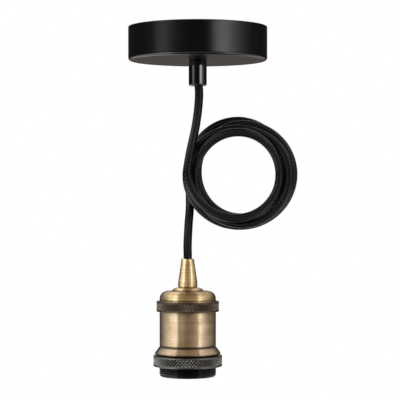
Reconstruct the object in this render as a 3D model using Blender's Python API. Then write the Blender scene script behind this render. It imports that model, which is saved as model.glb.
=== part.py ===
"""Pendant light: a ceiling rose, a textile cord wound into a hanging coil, and a brass lampholder.

Metres, +Z up. The origin lies in the ceiling plane on the axis of the rose, and the lamp hangs
towards -Z with its front towards -Y. Where two pieces screw together, both are plain surfaces with
a small gap between them.
"""

import math

import bmesh
import bpy
from mathutils import Matrix, Vector

MM = 0.001
GAP = 0.3 * MM  # air between two pieces that touch or screw together

# Ceiling rose: a drawn steel cup, open towards the ceiling
ROSE_RADIUS = 50.0 * MM
ROSE_HEIGHT = 24.3 * MM
ROSE_WALL = 1.0 * MM
ROSE_EDGE_RADIUS = 1.9 * MM
ROSE_RIM_CHAMFER = 0.4 * MM

# Bridge bracket screwed to the ceiling inside the rose
BRACKET_WIDTH = 20.0 * MM
BRACKET_THICKNESS = 1.5 * MM
BRACKET_END_CLEARANCE = 5.0 * MM
BRACKET_FOOT_LENGTH = 20.0 * MM
BRACKET_DROP = 12.0 * MM
BRACKET_SLOPE_RUN = 6.0 * MM
SLOT_LENGTH = 14.0 * MM
SLOT_WIDTH = 5.2 * MM

# M10 hollow threaded tubes, their nuts and the earth tags under those nuts
TUBE_RADIUS = 5.0 * MM
TUBE_BORE_RADIUS = 3.7 * MM
TUBE_STANDS_PROUD = 1.0 * MM
NUT_ACROSS_FLATS = 14.0 * MM
NUT_HEIGHT = 3.0 * MM
TAG_THICKNESS = 0.8 * MM
TAG_RING_RADIUS = 7.6 * MM
TAG_TAIL_WIDTH = 4.0 * MM
ROSE_TAG_TAIL_LENGTH = 5.5 * MM
HOLDER_TAG_TAIL_DROP = 7.4 * MM

# Cord and its cores
CORD_RADIUS = 3.05 * MM
CORE_RADIUS = 1.0 * MM
CORD_POINT_SPACING = 4 * CORD_RADIUS
CORE_POINT_SPACING = 2.4 * CORE_RADIUS
CORE_LAY_RADIUS = 1.3 * MM  # from the cord's centre to each core's centre
CORD_ENTRY_RADIUS = CORD_RADIUS + 0.35 * MM

# Black plastic cord grip under the rose
GRIP_RADIUS = 6.5 * MM
GRIP_LENGTH = 17.7 * MM
GRIP_THREAD_DEPTH = 8.5 * MM
GRIP_TOP_CHAMFER = 0.5 * MM
GRIP_EDGE_RADIUS = 1.0 * MM
GRIP_MOUTH_RADIUS = 4.7 * MM
GRIP_MOUTH_DEPTH = 4.4 * MM
GRIP_SCREW_RADIUS = 1.6 * MM

# Three-pole terminal block on the floor of the rose
BLOCK_POLES = ("live", "neutral", "earth")
BLOCK_PITCH = 8.5 * MM
BLOCK_END_WALL = 1.6 * MM
BLOCK_DEPTH = 16.0 * MM
BLOCK_HEIGHT = 12.0 * MM
BLOCK_AXIS_Y = 26.0 * MM
INSERT_RADIUS = 2.6 * MM
INSERT_BORE_RADIUS = 1.5 * MM
INSERT_RECESS = 0.5 * MM
CLAMP_SCREW_RADIUS = 1.25 * MM
CLAMP_SCREW_HEAD_RADIUS = 1.7 * MM
CLAMP_SCREW_HEAD_HEIGHT = 1.8 * MM
CLAMP_SCREW_OFFSET = 4.5 * MM  # from the middle of the block to each row of screws
SCREW_SLOT_WIDTH = 0.6 * MM
SCREW_SLOT_DEPTH = 0.6 * MM

# Lamp thread, and the radii of the lampholder worked outwards from it
LAMP_THREAD_RADIUS = 13.25 * MM
LAMP_THREAD_DEPTH = 1.0 * MM
LAMP_THREAD_PITCH = 3.63 * MM
LAMP_THREAD_TURNS = 4
SHELL_SHEET = 0.4 * MM
MOUTH_CLEARANCE = 0.55 * MM
MOUTH_RADIUS = LAMP_THREAD_RADIUS + SHELL_SHEET + MOUTH_CLEARANCE
BASE_LEDGE = 0.7 * MM  # how far the mouth bore steps in under the socket base
BASE_RADIUS = MOUTH_RADIUS + BASE_LEDGE
INSULATOR_WALL = 3.75 * MM
SHELL_WALL = 1.0 * MM
SHELL_RADIUS = BASE_RADIUS + GAP + INSULATOR_WALL + GAP + SHELL_WALL

# Lampholder: where the foot of its cone hangs, measured from the origin
HOLDER_X = -7.16 * MM
HOLDER_Z = -187.3 * MM

# Cone cord grip on top of the lampholder
CONE_FOOT_RADIUS = 6.95 * MM
CONE_TOP_RADIUS = 4.45 * MM
CONE_LENGTH = 20.5 * MM
CONE_FOOT_LENGTH = 3.4 * MM
CONE_EDGE_CHAMFER = 0.3 * MM
CONE_THREAD_DEPTH = 9.0 * MM
CONE_SCREW_HEIGHT = 13.0 * MM
CONE_SCREW_RADIUS = 1.25 * MM

# Brass cap with a raised boss
BOSS_RADIUS = 11.0 * MM
BOSS_HEIGHT = 2.1 * MM
BOSS_EDGE_RADIUS = 1.8 * MM
CAP_HEIGHT = 9.6 * MM  # from the top of the boss to the upper ring
CAP_SHOULDER_RADIUS = 5.0 * MM
CAP_CROWN_DROP = 0.6 * MM
CAP_SKIRT_LENGTH = 3.5 * MM

# Knurled ring that joins the cap and the body
CAP_RING_WALL = 1.95 * MM
CAP_RING_RADIUS = SHELL_RADIUS + GAP + CAP_RING_WALL
CAP_RING_HEIGHT = 7.4 * MM
CAP_RING_CHAMFER = 0.4 * MM

# Brass body with a flared foot
BODY_STRAIGHT_LENGTH = 28.7 * MM
FLARE_OVERHANG = 3.3 * MM
FLARE_RADIUS = SHELL_RADIUS + FLARE_OVERHANG
FLARE_HEIGHT = 4.5 * MM
FLARE_LIP_HEIGHT = 1.4 * MM
FLARE_EDGE_CHAMFER = 0.3 * MM

# Black moulded insulator with the outer shade thread
THREAD_PROUD_OF_SHELL = 0.25 * MM
THREAD_RADIUS = SHELL_RADIUS + THREAD_PROUD_OF_SHELL
THREAD_DEPTH = 0.6 * MM
THREAD_PITCH = 1.5 * MM
SKIRT_BELOW_RING = 7.3 * MM
SKIRT_EDGE_CHAMFER = 0.6 * MM
SKIRT_INSIDE_FLARE = 2.1 * MM
INSULATOR_TOP_BELOW_CAP_RING = 6.7 * MM
MOUTH_CHAMFER = 1.0 * MM

# Knurled shade ring on that thread, which unscrews downwards
SHADE_RING_WALL = 3.95 * MM
SHADE_RING_RADIUS = THREAD_RADIUS + GAP + SHADE_RING_WALL
SHADE_RING_HEIGHT = 8.0 * MM
SHADE_RING_CHAMFER = 0.6 * MM
SEAT_LAND_WIDTH = 1.0 * MM
SEAT_LAND_HEIGHT = 0.2 * MM
SEAT_EDGE_CHAMFER = 0.4 * MM

# Socket base, lamp screw shell and contacts
BASE_HEIGHT = 12.0 * MM
BASE_RIB_THICKNESS = 1.6 * MM
BASE_RIB_HEIGHT = 6.0 * MM
BASE_RIB_LENGTH = 20.0 * MM
SHELL_FLANGE_HOLE_RADIUS = 7.3 * MM
SOCKET_DEPTH = 18.8 * MM  # from the mouth up to the socket base
TERMINAL_LENGTH = 7.0 * MM
TERMINAL_WIDTH = 6.0 * MM
TERMINAL_HEIGHT = 6.5 * MM
TERMINAL_WIRE_DEPTH = 4.8 * MM
TERMINAL_SCREW_HEAD_RADIUS = 2.1 * MM
TERMINAL_SCREW_HEAD_HEIGHT = 1.6 * MM
STEM_RADIUS = 1.0 * MM
STEM_HEAD_RADIUS = 1.8 * MM
STEM_HEAD_HEIGHT = 0.8 * MM
LIVE_WIRE_X = -7.9 * MM
LIVE_STEM_X = -4.4 * MM
NEUTRAL_WIRE_X = 7.0 * MM
NEUTRAL_STEM_X = 9.7 * MM
CONTACT_WIDTH = 4.0 * MM
CONTACT_SHEET = 0.5 * MM
CONTACT_DROP = 4.4 * MM
CONTACT_REACH = 3.4 * MM

# Coil of cord, wound in the plane of the front
COIL_CENTRE = (30.0 * MM, 0.0, -105.0 * MM)
COIL_OUTER_RADIUS = 41.6 * MM
COIL_INNER_RADIUS = 27.0 * MM
COIL_DEPTH = 22.0 * MM
COIL_EDGE_RADIUS = 7.0 * MM

# The cord's two runs outside the coil, point by point
CORD_UPPER_ROUTE = [
    (0.00 * MM, 0.0 * MM, -13.0 * MM),
    (0.00 * MM, 0.0 * MM, -24.0 * MM),
    (0.00 * MM, 0.0 * MM, -34.0 * MM),
    (0.25 * MM, 0.0 * MM, -39.0 * MM),
    (0.85 * MM, 0.0 * MM, -44.0 * MM),
    (0.95 * MM, 0.0 * MM, -50.0 * MM),
    (0.40 * MM, -0.4 * MM, -58.0 * MM),
    (-0.45 * MM, -1.2 * MM, -65.0 * MM),
    (-1.35 * MM, -2.2 * MM, -71.0 * MM),
    (-1.85 * MM, -3.0 * MM, -73.8 * MM),
]
CORD_LOWER_ROUTE = [
    (-5.76 * MM, 5.05 * MM, -131.5 * MM),
    (-6.45 * MM, 4.1 * MM, -140.0 * MM),
    (-6.95 * MM, 2.4 * MM, -148.5 * MM),
    (-7.30 * MM, 0.8 * MM, -157.0 * MM),
    (-7.20 * MM, 0.1 * MM, -163.5 * MM),
    (-7.16 * MM, 0.0 * MM, -168.5 * MM),
    (-7.16 * MM, 0.0 * MM, -180.0 * MM),
    (-7.16 * MM, 0.0 * MM, -194.6 * MM),
]

# Half-lengths along the bracket
BRACKET_END = ROSE_RADIUS - ROSE_WALL - BRACKET_END_CLEARANCE
BRACKET_FOOT_START = BRACKET_END - BRACKET_FOOT_LENGTH
BRACKET_WEB_END = BRACKET_FOOT_START - BRACKET_SLOPE_RUN

# Heights on the rose's axis
BRACKET_WEB_TOP = -BRACKET_DROP
BRACKET_WEB_BOTTOM = BRACKET_WEB_TOP - BRACKET_THICKNESS
ROSE_TAG_BOTTOM = BRACKET_WEB_TOP + GAP
ROSE_NUT_BOTTOM = ROSE_TAG_BOTTOM + TAG_THICKNESS + GAP
ROSE_TUBE_TOP = ROSE_NUT_BOTTOM + NUT_HEIGHT + TUBE_STANDS_PROUD
GRIP_TOP = -ROSE_HEIGHT - GAP
GRIP_BOTTOM = GRIP_TOP - GRIP_LENGTH
GRIP_THREAD_END = GRIP_TOP - GRIP_THREAD_DEPTH
GRIP_SCREW_Z = (GRIP_THREAD_END + GRIP_BOTTOM + GRIP_MOUTH_DEPTH) / 2
ROSE_FLOOR = -ROSE_HEIGHT + ROSE_WALL
BLOCK_BOTTOM = ROSE_FLOOR + GAP
BLOCK_TOP = BLOCK_BOTTOM + BLOCK_HEIGHT
BLOCK_WIRE_Z = BLOCK_BOTTOM + BLOCK_HEIGHT * 0.45

# Heights on the lampholder's axis, from the foot of the cone
CAP_TOP = -GAP
CAP_CROWN_Z = CAP_TOP - BOSS_HEIGHT
CAP_RING_TOP = CAP_TOP - CAP_HEIGHT
CAP_RING_BOTTOM = CAP_RING_TOP - CAP_RING_HEIGHT
CAP_BOTTOM = CAP_RING_TOP - CAP_SKIRT_LENGTH
HOLDER_TAG_TOP = CAP_TOP - SHELL_WALL - GAP
HOLDER_NUT_TOP = HOLDER_TAG_TOP - TAG_THICKNESS - GAP
HOLDER_TUBE_BOTTOM = HOLDER_NUT_TOP - NUT_HEIGHT - TUBE_STANDS_PROUD
BODY_TOP = CAP_BOTTOM - GAP
FLARE_TOP = BODY_TOP - BODY_STRAIGHT_LENGTH
BODY_BOTTOM = FLARE_TOP - FLARE_HEIGHT - FLARE_LIP_HEIGHT
SHADE_RING_TOP = BODY_BOTTOM - GAP
SHADE_RING_BOTTOM = SHADE_RING_TOP - SHADE_RING_HEIGHT
SKIRT_BOTTOM = SHADE_RING_BOTTOM - SKIRT_BELOW_RING
SKIRT_TOP = BODY_BOTTOM + SKIRT_INSIDE_FLARE
INSULATOR_TOP = CAP_RING_BOTTOM - INSULATOR_TOP_BELOW_CAP_RING
BASE_BOTTOM = SKIRT_BOTTOM + SOCKET_DEPTH
BASE_TOP = BASE_BOTTOM + BASE_HEIGHT
TERMINAL_BOTTOM = BASE_TOP + GAP
TERMINAL_TOP = TERMINAL_BOTTOM + TERMINAL_HEIGHT
TERMINAL_SCREW_Z = TERMINAL_TOP - TERMINAL_WIRE_DEPTH * 0.55
CORD_END_Z = CORD_LOWER_ROUTE[-1][2] - HOLDER_Z

FULL_TURN = 2 * math.pi
QUARTER_TURN = math.pi / 2


def srgb(code):
    """A linear colour from an sRGB hex code."""
    levels = [int(code[i : i + 2], 16) / 255 for i in (1, 3, 5)]
    return [v / 12.92 if v <= 0.04045 else ((v + 0.055) / 1.055) ** 2.4 for v in levels] + [1.0]


def finish(name, code, roughness, metallic=0.0):
    """A Principled material."""
    material = bpy.data.materials.new(name)
    material.use_nodes = True
    shader = material.node_tree.nodes["Principled BSDF"]
    shader.inputs["Base Color"].default_value = srgb(code)
    shader.inputs["Roughness"].default_value = roughness
    shader.inputs["Metallic"].default_value = metallic
    material.diffuse_color = srgb(code)
    return material


def arc(centre_x, centre_y, radius, start, end, steps):
    """Points of a round corner, from the angle start to the angle end in degrees."""
    angles = [math.radians(start + (end - start) * i / steps) for i in range(steps + 1)]
    return [(centre_x + radius * math.cos(a), centre_y + radius * math.sin(a)) for a in angles]


def strip_outline(path, thickness):
    """The outline of a bent strip: along the path, and back on its right-hand side at the thickness."""
    points = [Vector(point) for point in path]
    ways = [(after - before).normalized() for before, after in zip(points, points[1:])]
    back = []
    for point, before, after in zip(points, ways[:1] + ways, ways + ways[-1:]):
        side = Vector((before.y, -before.x))
        mitre = (side + Vector((after.y, -after.x))).normalized()
        back.append(point + mitre * thickness / mitre.dot(side))
    return [tuple(point) for point in points + back[::-1]]


def slot_outline(centre_x, length, width, steps=6):
    """A slot along X with round ends."""
    reach = (length - width) / 2
    right = arc(centre_x + reach, 0.0, width / 2, -90, 90, steps)
    left = arc(centre_x - reach, 0.0, width / 2, 90, 270, steps)
    return right + left


def turned_shape(outline, sides):
    """An outline of (radius, height) points turned about Z. It is closed, or it starts and ends on Z."""
    shape = bmesh.new()
    points = [shape.verts.new((radius, 0.0, height)) for radius, height in outline]
    pairs = list(zip(points, points[1:]))
    if outline[0][0] > 0.0:
        pairs.append((points[-1], points[0]))
    edges = [shape.edges.new(pair) for pair in pairs]
    bmesh.ops.spin(
        shape,
        geom=points + edges,
        axis=(0, 0, 1),
        cent=(0, 0, 0),
        angle=FULL_TURN,
        steps=sides,
        use_merge=True,
    )
    bmesh.ops.remove_doubles(shape, verts=shape.verts, dist=0.001 * MM)
    bmesh.ops.recalc_face_normals(shape, faces=shape.faces)
    return shape


def rod_shape(radius, start, end, sides=16):
    """A round rod from start to end."""
    start, end = Vector(start), Vector(end)
    way = end - start
    place = Matrix.Translation((start + end) / 2) @ way.to_track_quat("Z", "Y").to_matrix().to_4x4()
    shape = bmesh.new()
    bmesh.ops.create_cone(
        shape, cap_ends=True, segments=sides, radius1=radius, radius2=radius, depth=way.length, matrix=place
    )
    return shape


def prism_shape(outline, low, high, to_point):
    """A flat outline carried from low to high. to_point(u, v, t) gives the point's place."""
    shape = bmesh.new()
    base = shape.faces.new([shape.verts.new(to_point(u, v, low)) for u, v in outline])
    raised = bmesh.ops.extrude_face_region(shape, geom=[base])["geom"]
    lift = Vector(to_point(0.0, 0.0, high)) - Vector(to_point(0.0, 0.0, low))
    raised_points = [item for item in raised if isinstance(item, bmesh.types.BMVert)]
    bmesh.ops.translate(shape, vec=lift, verts=raised_points)
    bmesh.ops.recalc_face_normals(shape, faces=shape.faces)
    return shape


def across_y(u, v, t):
    return (u, t, v)


def across_x(u, v, t):
    return (t, u, v)


def upright(u, v, t):
    return (u, v, t)


def box_shape(low, high):
    """A box between two corners."""
    outline = [(low[0], low[1]), (high[0], low[1]), (high[0], high[1]), (low[0], high[1])]
    return prism_shape(outline, low[2], high[2], upright)


def hexagon_shape(across_flats, bottom, top):
    """A hexagonal prism about Z."""
    corner = across_flats / 2 / math.cos(math.pi / 6)
    outline = [(corner * math.cos(i * math.pi / 3), corner * math.sin(i * math.pi / 3)) for i in range(6)]
    return prism_shape(outline, bottom, top, upright)


def node(name, shape, material, parent):
    """A finished piece under its parent."""
    mesh = bpy.data.meshes.new(name)
    shape.to_mesh(mesh)
    shape.free()
    mesh.materials.append(material)
    mesh.shade_smooth()
    mesh.set_sharp_from_angle(angle=math.radians(35))
    piece = bpy.data.objects.new(name, mesh)
    piece.parent = parent
    bpy.context.scene.collection.objects.link(piece)
    return piece


def shape_with(piece, name, shape, operation):
    """Cuts a helper shape from the piece, or joins it on."""
    mesh = bpy.data.meshes.new(name)
    shape.to_mesh(mesh)
    shape.free()
    helper = bpy.data.objects.new(name, mesh)
    helper.parent = piece.parent
    helper.hide_render = True
    helper.display_type = "WIRE"
    bpy.context.scene.collection.objects.link(helper)
    modifier = piece.modifiers.new(name, "BOOLEAN")
    modifier.operation = operation
    modifier.object = helper


def cut(piece, name, shape):
    shape_with(piece, f"{piece.name}_{name}_cutter", shape, "DIFFERENCE")


def join(piece, name, shape):
    shape_with(piece, f"{piece.name}_{name}_addition", shape, "UNION")


def along(route, spacing):
    """Even points on the smooth curve that passes through the route's points."""
    points = [Vector(point) for point in route]
    points = [2 * points[0] - points[1]] + points + [2 * points[-1] - points[-2]]
    fine = []
    for a, b, c, d in zip(points, points[1:], points[2:], points[3:]):
        for t in (i / 24 for i in range(24)):
            fine.append(
                b + 0.5 * t * (c - a + t * (2 * a - 5 * b + 4 * c - d + t * (3 * b - a - 3 * c + d)))
            )
    fine.append(points[-2])
    lengths = [0.0]
    for before, after in zip(fine, fine[1:]):
        lengths.append(lengths[-1] + (after - before).length)
    count = max(2, round(lengths[-1] / spacing))
    even, at = [], 0
    for i in range(count):
        wanted = lengths[-1] * i / count
        while lengths[at + 1] < wanted:
            at += 1
        share = (wanted - lengths[at]) / (lengths[at + 1] - lengths[at])
        even.append(fine[at].lerp(fine[at + 1], share))
    return even + [fine[-1]]


def tube(name, route, radius, material, parent, spacing, bevel_resolution=2):
    """A round tube along a smooth route."""
    points = along(route, spacing)
    curve = bpy.data.curves.new(name, "CURVE")
    curve.dimensions = "3D"
    curve.bevel_depth = radius
    curve.bevel_resolution = bevel_resolution
    curve.use_fill_caps = True
    spline = curve.splines.new("POLY")
    spline.points.add(len(points) - 1)
    for item, point in zip(spline.points, points):
        item.co = (*point, 1.0)
    curve.materials.append(material)
    piece = bpy.data.objects.new(name, curve)
    piece.parent = parent
    bpy.context.scene.collection.objects.link(piece)
    return piece


def empty(name, location):
    marker = bpy.data.objects.new(name, None)
    marker.location = location
    bpy.context.scene.collection.objects.link(marker)
    return marker


def canopy(material, parent):
    """The drawn cup: flat floor, round lower edge and a rim that meets the ceiling."""
    inside = ROSE_RADIUS - ROSE_WALL
    inner_edge = max(ROSE_EDGE_RADIUS - ROSE_WALL, 0.2 * MM)
    outline = [(inside, 0.0), (ROSE_RADIUS - ROSE_RIM_CHAMFER, 0.0), (ROSE_RADIUS, -ROSE_RIM_CHAMFER)]
    edge_x, edge_z = ROSE_RADIUS - ROSE_EDGE_RADIUS, -ROSE_HEIGHT + ROSE_EDGE_RADIUS
    outline += arc(edge_x, edge_z, ROSE_EDGE_RADIUS, 0, -90, 4)
    outline += [(TUBE_RADIUS + GAP, -ROSE_HEIGHT), (TUBE_RADIUS + GAP, ROSE_FLOOR)]
    outline += arc(inside - inner_edge, ROSE_FLOOR + inner_edge, inner_edge, -90, 0, 2)
    return node("canopy", turned_shape(outline, 64), material, parent)


def ceiling_bracket(material, parent):
    """A strap with two slotted feet on the ceiling and a lowered middle that carries the threaded tube."""
    end, foot, web = BRACKET_END, BRACKET_FOOT_START, BRACKET_WEB_END
    left = [(-end, 0.0), (-foot, 0.0), (-web, BRACKET_WEB_TOP)]
    right = [(web, BRACKET_WEB_TOP), (foot, 0.0), (end, 0.0)]
    path = left + right
    outline = strip_outline(path, BRACKET_THICKNESS)
    strap = prism_shape(outline, -BRACKET_WIDTH / 2, BRACKET_WIDTH / 2, across_y)
    piece = node("ceiling_bracket", strap, material, parent)
    for side, name in ((-1, "left_slot"), (1, "right_slot")):
        slot = slot_outline(side * (end + foot) / 2, SLOT_LENGTH, SLOT_WIDTH)
        cut(piece, name, prism_shape(slot, -2 * BRACKET_THICKNESS, BRACKET_THICKNESS, upright))
    above, below = BRACKET_WEB_TOP + BRACKET_THICKNESS, BRACKET_WEB_BOTTOM - BRACKET_THICKNESS
    cut(piece, "hole", rod_shape(TUBE_RADIUS + GAP, (0, 0, below), (0, 0, above), 24))
    return piece


def threaded_tube(name, bottom, top, material, parent):
    outline = [(TUBE_BORE_RADIUS, top), (TUBE_RADIUS, top)]
    outline += [(TUBE_RADIUS, bottom), (TUBE_BORE_RADIUS, bottom)]
    return node(name, turned_shape(outline, 24), material, parent)


def nut(name, bottom, material, parent):
    piece = node(name, hexagon_shape(NUT_ACROSS_FLATS, bottom, bottom + NUT_HEIGHT), material, parent)
    low, high = (0, 0, bottom - GAP), (0, 0, bottom + NUT_HEIGHT + GAP)
    cut(piece, "thread", rod_shape(TUBE_RADIUS + GAP, low, high, 24))
    return piece


def rose_earth_tag(material, parent):
    """A flat ring under the bracket's upper nut, with a tail along +X."""
    top = ROSE_TAG_BOTTOM + TAG_THICKNESS
    ring = rod_shape(TAG_RING_RADIUS, (0, 0, ROSE_TAG_BOTTOM), (0, 0, top), 24)
    piece = node("bracket_earth_tag", ring, material, parent)
    half = TAG_TAIL_WIDTH / 2
    end = TAG_RING_RADIUS + ROSE_TAG_TAIL_LENGTH
    join(piece, "tail", box_shape((TUBE_RADIUS + 2 * GAP, -half, ROSE_TAG_BOTTOM), (end, half, top)))
    cut(piece, "hole", rod_shape(TUBE_RADIUS + GAP, (0, 0, ROSE_TAG_BOTTOM - GAP), (0, 0, top + GAP), 24))
    return piece


def holder_earth_tag(material, parent):
    """A ring under the cap, with a tail that bends down past the nut."""
    bottom = HOLDER_TAG_TOP - TAG_THICKNESS
    ring = rod_shape(TAG_RING_RADIUS, (0, 0, bottom), (0, 0, HOLDER_TAG_TOP), 24)
    piece = node("holder_earth_tag", ring, material, parent)
    path = [(TUBE_RADIUS + 2 * GAP, HOLDER_TAG_TOP), (tag_tail_y(), HOLDER_TAG_TOP)]
    path.append((tag_tail_y(), HOLDER_TAG_TOP - HOLDER_TAG_TAIL_DROP))
    half = TAG_TAIL_WIDTH / 2
    join(piece, "tail", prism_shape(strip_outline(path, TAG_THICKNESS), -half, half, across_x))
    cut(piece, "hole", rod_shape(TUBE_RADIUS + GAP, (0, 0, bottom - GAP), (0, 0, HOLDER_TAG_TOP + GAP), 24))
    return piece


def tag_tail_y():
    """The outer face of the tail: clear of the nut's corners by one gap."""
    return NUT_ACROSS_FLATS / 2 / math.cos(math.pi / 6) + GAP + TAG_THICKNESS


def canopy_cord_grip(material, parent):
    """A plastic sleeve: threaded above, close on the cord in the middle, with a flared mouth."""
    thread = TUBE_RADIUS + GAP
    outline = [(thread, GRIP_TOP), (GRIP_RADIUS - GRIP_TOP_CHAMFER, GRIP_TOP)]
    outline += [(GRIP_RADIUS, GRIP_TOP - GRIP_TOP_CHAMFER)]
    edge_x, edge_z = GRIP_RADIUS - GRIP_EDGE_RADIUS, GRIP_BOTTOM + GRIP_EDGE_RADIUS
    outline += arc(edge_x, edge_z, GRIP_EDGE_RADIUS, 0, -90, 3)
    outline += [(GRIP_MOUTH_RADIUS, GRIP_BOTTOM), (CORD_ENTRY_RADIUS, GRIP_BOTTOM + GRIP_MOUTH_DEPTH)]
    outline += [(CORD_ENTRY_RADIUS, GRIP_THREAD_END), (thread, GRIP_THREAD_END)]
    piece = node("canopy_cord_grip", turned_shape(outline, 32), material, parent)
    hole = rod_shape(GRIP_SCREW_RADIUS + GAP, (0, 0, GRIP_SCREW_Z), (0, 2 * GRIP_RADIUS, GRIP_SCREW_Z))
    cut(piece, "screw_hole", hole)
    return piece


def set_screw(name, radius, end_y, height, material, parent):
    """A headless screw from the cord's hole out along +Y, with a slot in its outer end."""
    rod = rod_shape(radius, (0, CORD_ENTRY_RADIUS, height), (0, end_y, height), 12)
    piece = node(name, rod, material, parent)
    half = SCREW_SLOT_WIDTH / 2
    low = (-2 * radius, end_y - SCREW_SLOT_DEPTH, height - half)
    slot = box_shape(low, (2 * radius, end_y + GAP, height + half))
    cut(piece, "slot", slot)
    return piece


def clamp_screw(name, tip, way, shank_length, head_radius, head_height, material, parent):
    """A slotted screw: way points from its tip to its head along an axis."""
    tip, way = Vector(tip), Vector(way)
    outline = [(0.0, head_height), (head_radius, head_height)]
    outline += [(head_radius, 0.0), (CLAMP_SCREW_RADIUS, 0.0)]
    outline += [(CLAMP_SCREW_RADIUS, -shank_length), (0.0, -shank_length)]
    shape = turned_shape(outline, 12)
    turn = Matrix.Translation(tip + way * shank_length) @ way.to_track_quat("Z", "Y").to_matrix().to_4x4()
    shape.transform(turn)
    piece = node(name, shape, material, parent)
    half = SCREW_SLOT_WIDTH / 2
    reach = 2 * head_radius
    slot = box_shape((-reach, -half, head_height - SCREW_SLOT_DEPTH), (reach, half, head_height + GAP))
    slot.transform(turn)
    cut(piece, "slot", slot)
    return piece


def pole_x(index):
    """A pole's place along the terminal block."""
    return (index - (len(BLOCK_POLES) - 1) / 2) * BLOCK_PITCH


def terminal_block(plastic, brass, steel, parent):
    """The moulded block, with a brass insert and two clamp screws in each pole."""
    half_x = pole_x(len(BLOCK_POLES) - 1) + INSERT_RADIUS + GAP + BLOCK_END_WALL
    low_y, high_y = BLOCK_AXIS_Y - BLOCK_DEPTH / 2, BLOCK_AXIS_Y + BLOCK_DEPTH / 2
    block = box_shape((-half_x, low_y, BLOCK_BOTTOM), (half_x, high_y, BLOCK_TOP))
    block = node("terminal_block", block, plastic, parent)
    insert_top = BLOCK_WIRE_Z + INSERT_RADIUS
    tip_z = BLOCK_WIRE_Z + CORE_RADIUS + GAP
    for index, pole in enumerate(BLOCK_POLES):
        x = pole_x(index)
        near, far = (x, low_y - GAP, BLOCK_WIRE_Z), (x, high_y + GAP, BLOCK_WIRE_Z)
        outside = rod_shape(INSERT_RADIUS + GAP, near, far)
        cut(block, f"{pole}_way", outside)
        front, back = (x, low_y + INSERT_RECESS, BLOCK_WIRE_Z), (x, high_y - INSERT_RECESS, BLOCK_WIRE_Z)
        insert = node(f"terminal_insert_{pole}", rod_shape(INSERT_RADIUS, front, back), brass, parent)
        cut(insert, "bore", rod_shape(INSERT_BORE_RADIUS, near, far, 12))
        for side, offset in (("lamp", -CLAMP_SCREW_OFFSET), ("supply", CLAMP_SCREW_OFFSET)):
            y = BLOCK_AXIS_Y + offset
            well_radius = CLAMP_SCREW_HEAD_RADIUS + GAP
            well = rod_shape(well_radius, (x, y, BLOCK_WIRE_Z), (x, y, BLOCK_TOP + GAP), 12)
            cut(block, f"{pole}_{side}_well", well)
            hole = rod_shape(CLAMP_SCREW_RADIUS + GAP, (x, y, BLOCK_WIRE_Z), (x, y, insert_top + GAP), 12)
            cut(insert, f"{side}_thread", hole)
            shank = insert_top + GAP - tip_z
            clamp_screw(
                f"terminal_screw_{side}_{pole}",
                (x, y, tip_z),
                (0, 0, 1),
                shank,
                CLAMP_SCREW_HEAD_RADIUS,
                CLAMP_SCREW_HEAD_HEIGHT,
                steel,
                parent,
            )


def core_start(degrees):
    """Where a core lies in the cord's section."""
    angle = math.radians(degrees)
    return CORE_LAY_RADIUS * math.cos(angle), CORE_LAY_RADIUS * math.sin(angle)


def rose_cores(materials, parent):
    """The three cores from the cord's upper end, up out of the tube, over and into the terminal block."""
    start_z = CORD_UPPER_ROUTE[0][2] + GAP
    block_front = BLOCK_AXIS_Y - BLOCK_DEPTH / 2
    end_y = BLOCK_AXIS_Y - CLAMP_SCREW_OFFSET + 2 * CLAMP_SCREW_RADIUS
    crest = ROSE_TUBE_TOP * 0.35
    middle_y = (BRACKET_WIDTH / 2 + block_front) / 2
    for index, (pole, degrees) in enumerate(zip(BLOCK_POLES, (210, 90, 330))):
        x, y = core_start(degrees)
        end_x = pole_x(index)
        route = [
            (x, y, start_z),
            (x, y, ROSE_TUBE_TOP - CORE_RADIUS),
            (x * 1.4, y + 2 * CORE_RADIUS, (crest + ROSE_TUBE_TOP) / 2),
            (end_x * 0.4, BRACKET_WIDTH / 2 - 2.5 * CORE_RADIUS, crest),
            (end_x * 0.8, middle_y - CORE_RADIUS / 2, (crest + BLOCK_WIRE_Z) / 2 + 3.5 * CORE_RADIUS),
            (end_x, block_front - 3.2 * CORE_RADIUS, BLOCK_WIRE_Z + 3.4 * CORE_RADIUS),
            (end_x, block_front - 0.4 * CORE_RADIUS, BLOCK_WIRE_Z + 0.2 * CORE_RADIUS),
            (end_x, end_y, BLOCK_WIRE_Z),
        ]
        tube(f"canopy_core_{pole}", route, CORE_RADIUS, materials[pole], parent, CORE_POINT_SPACING)


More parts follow.
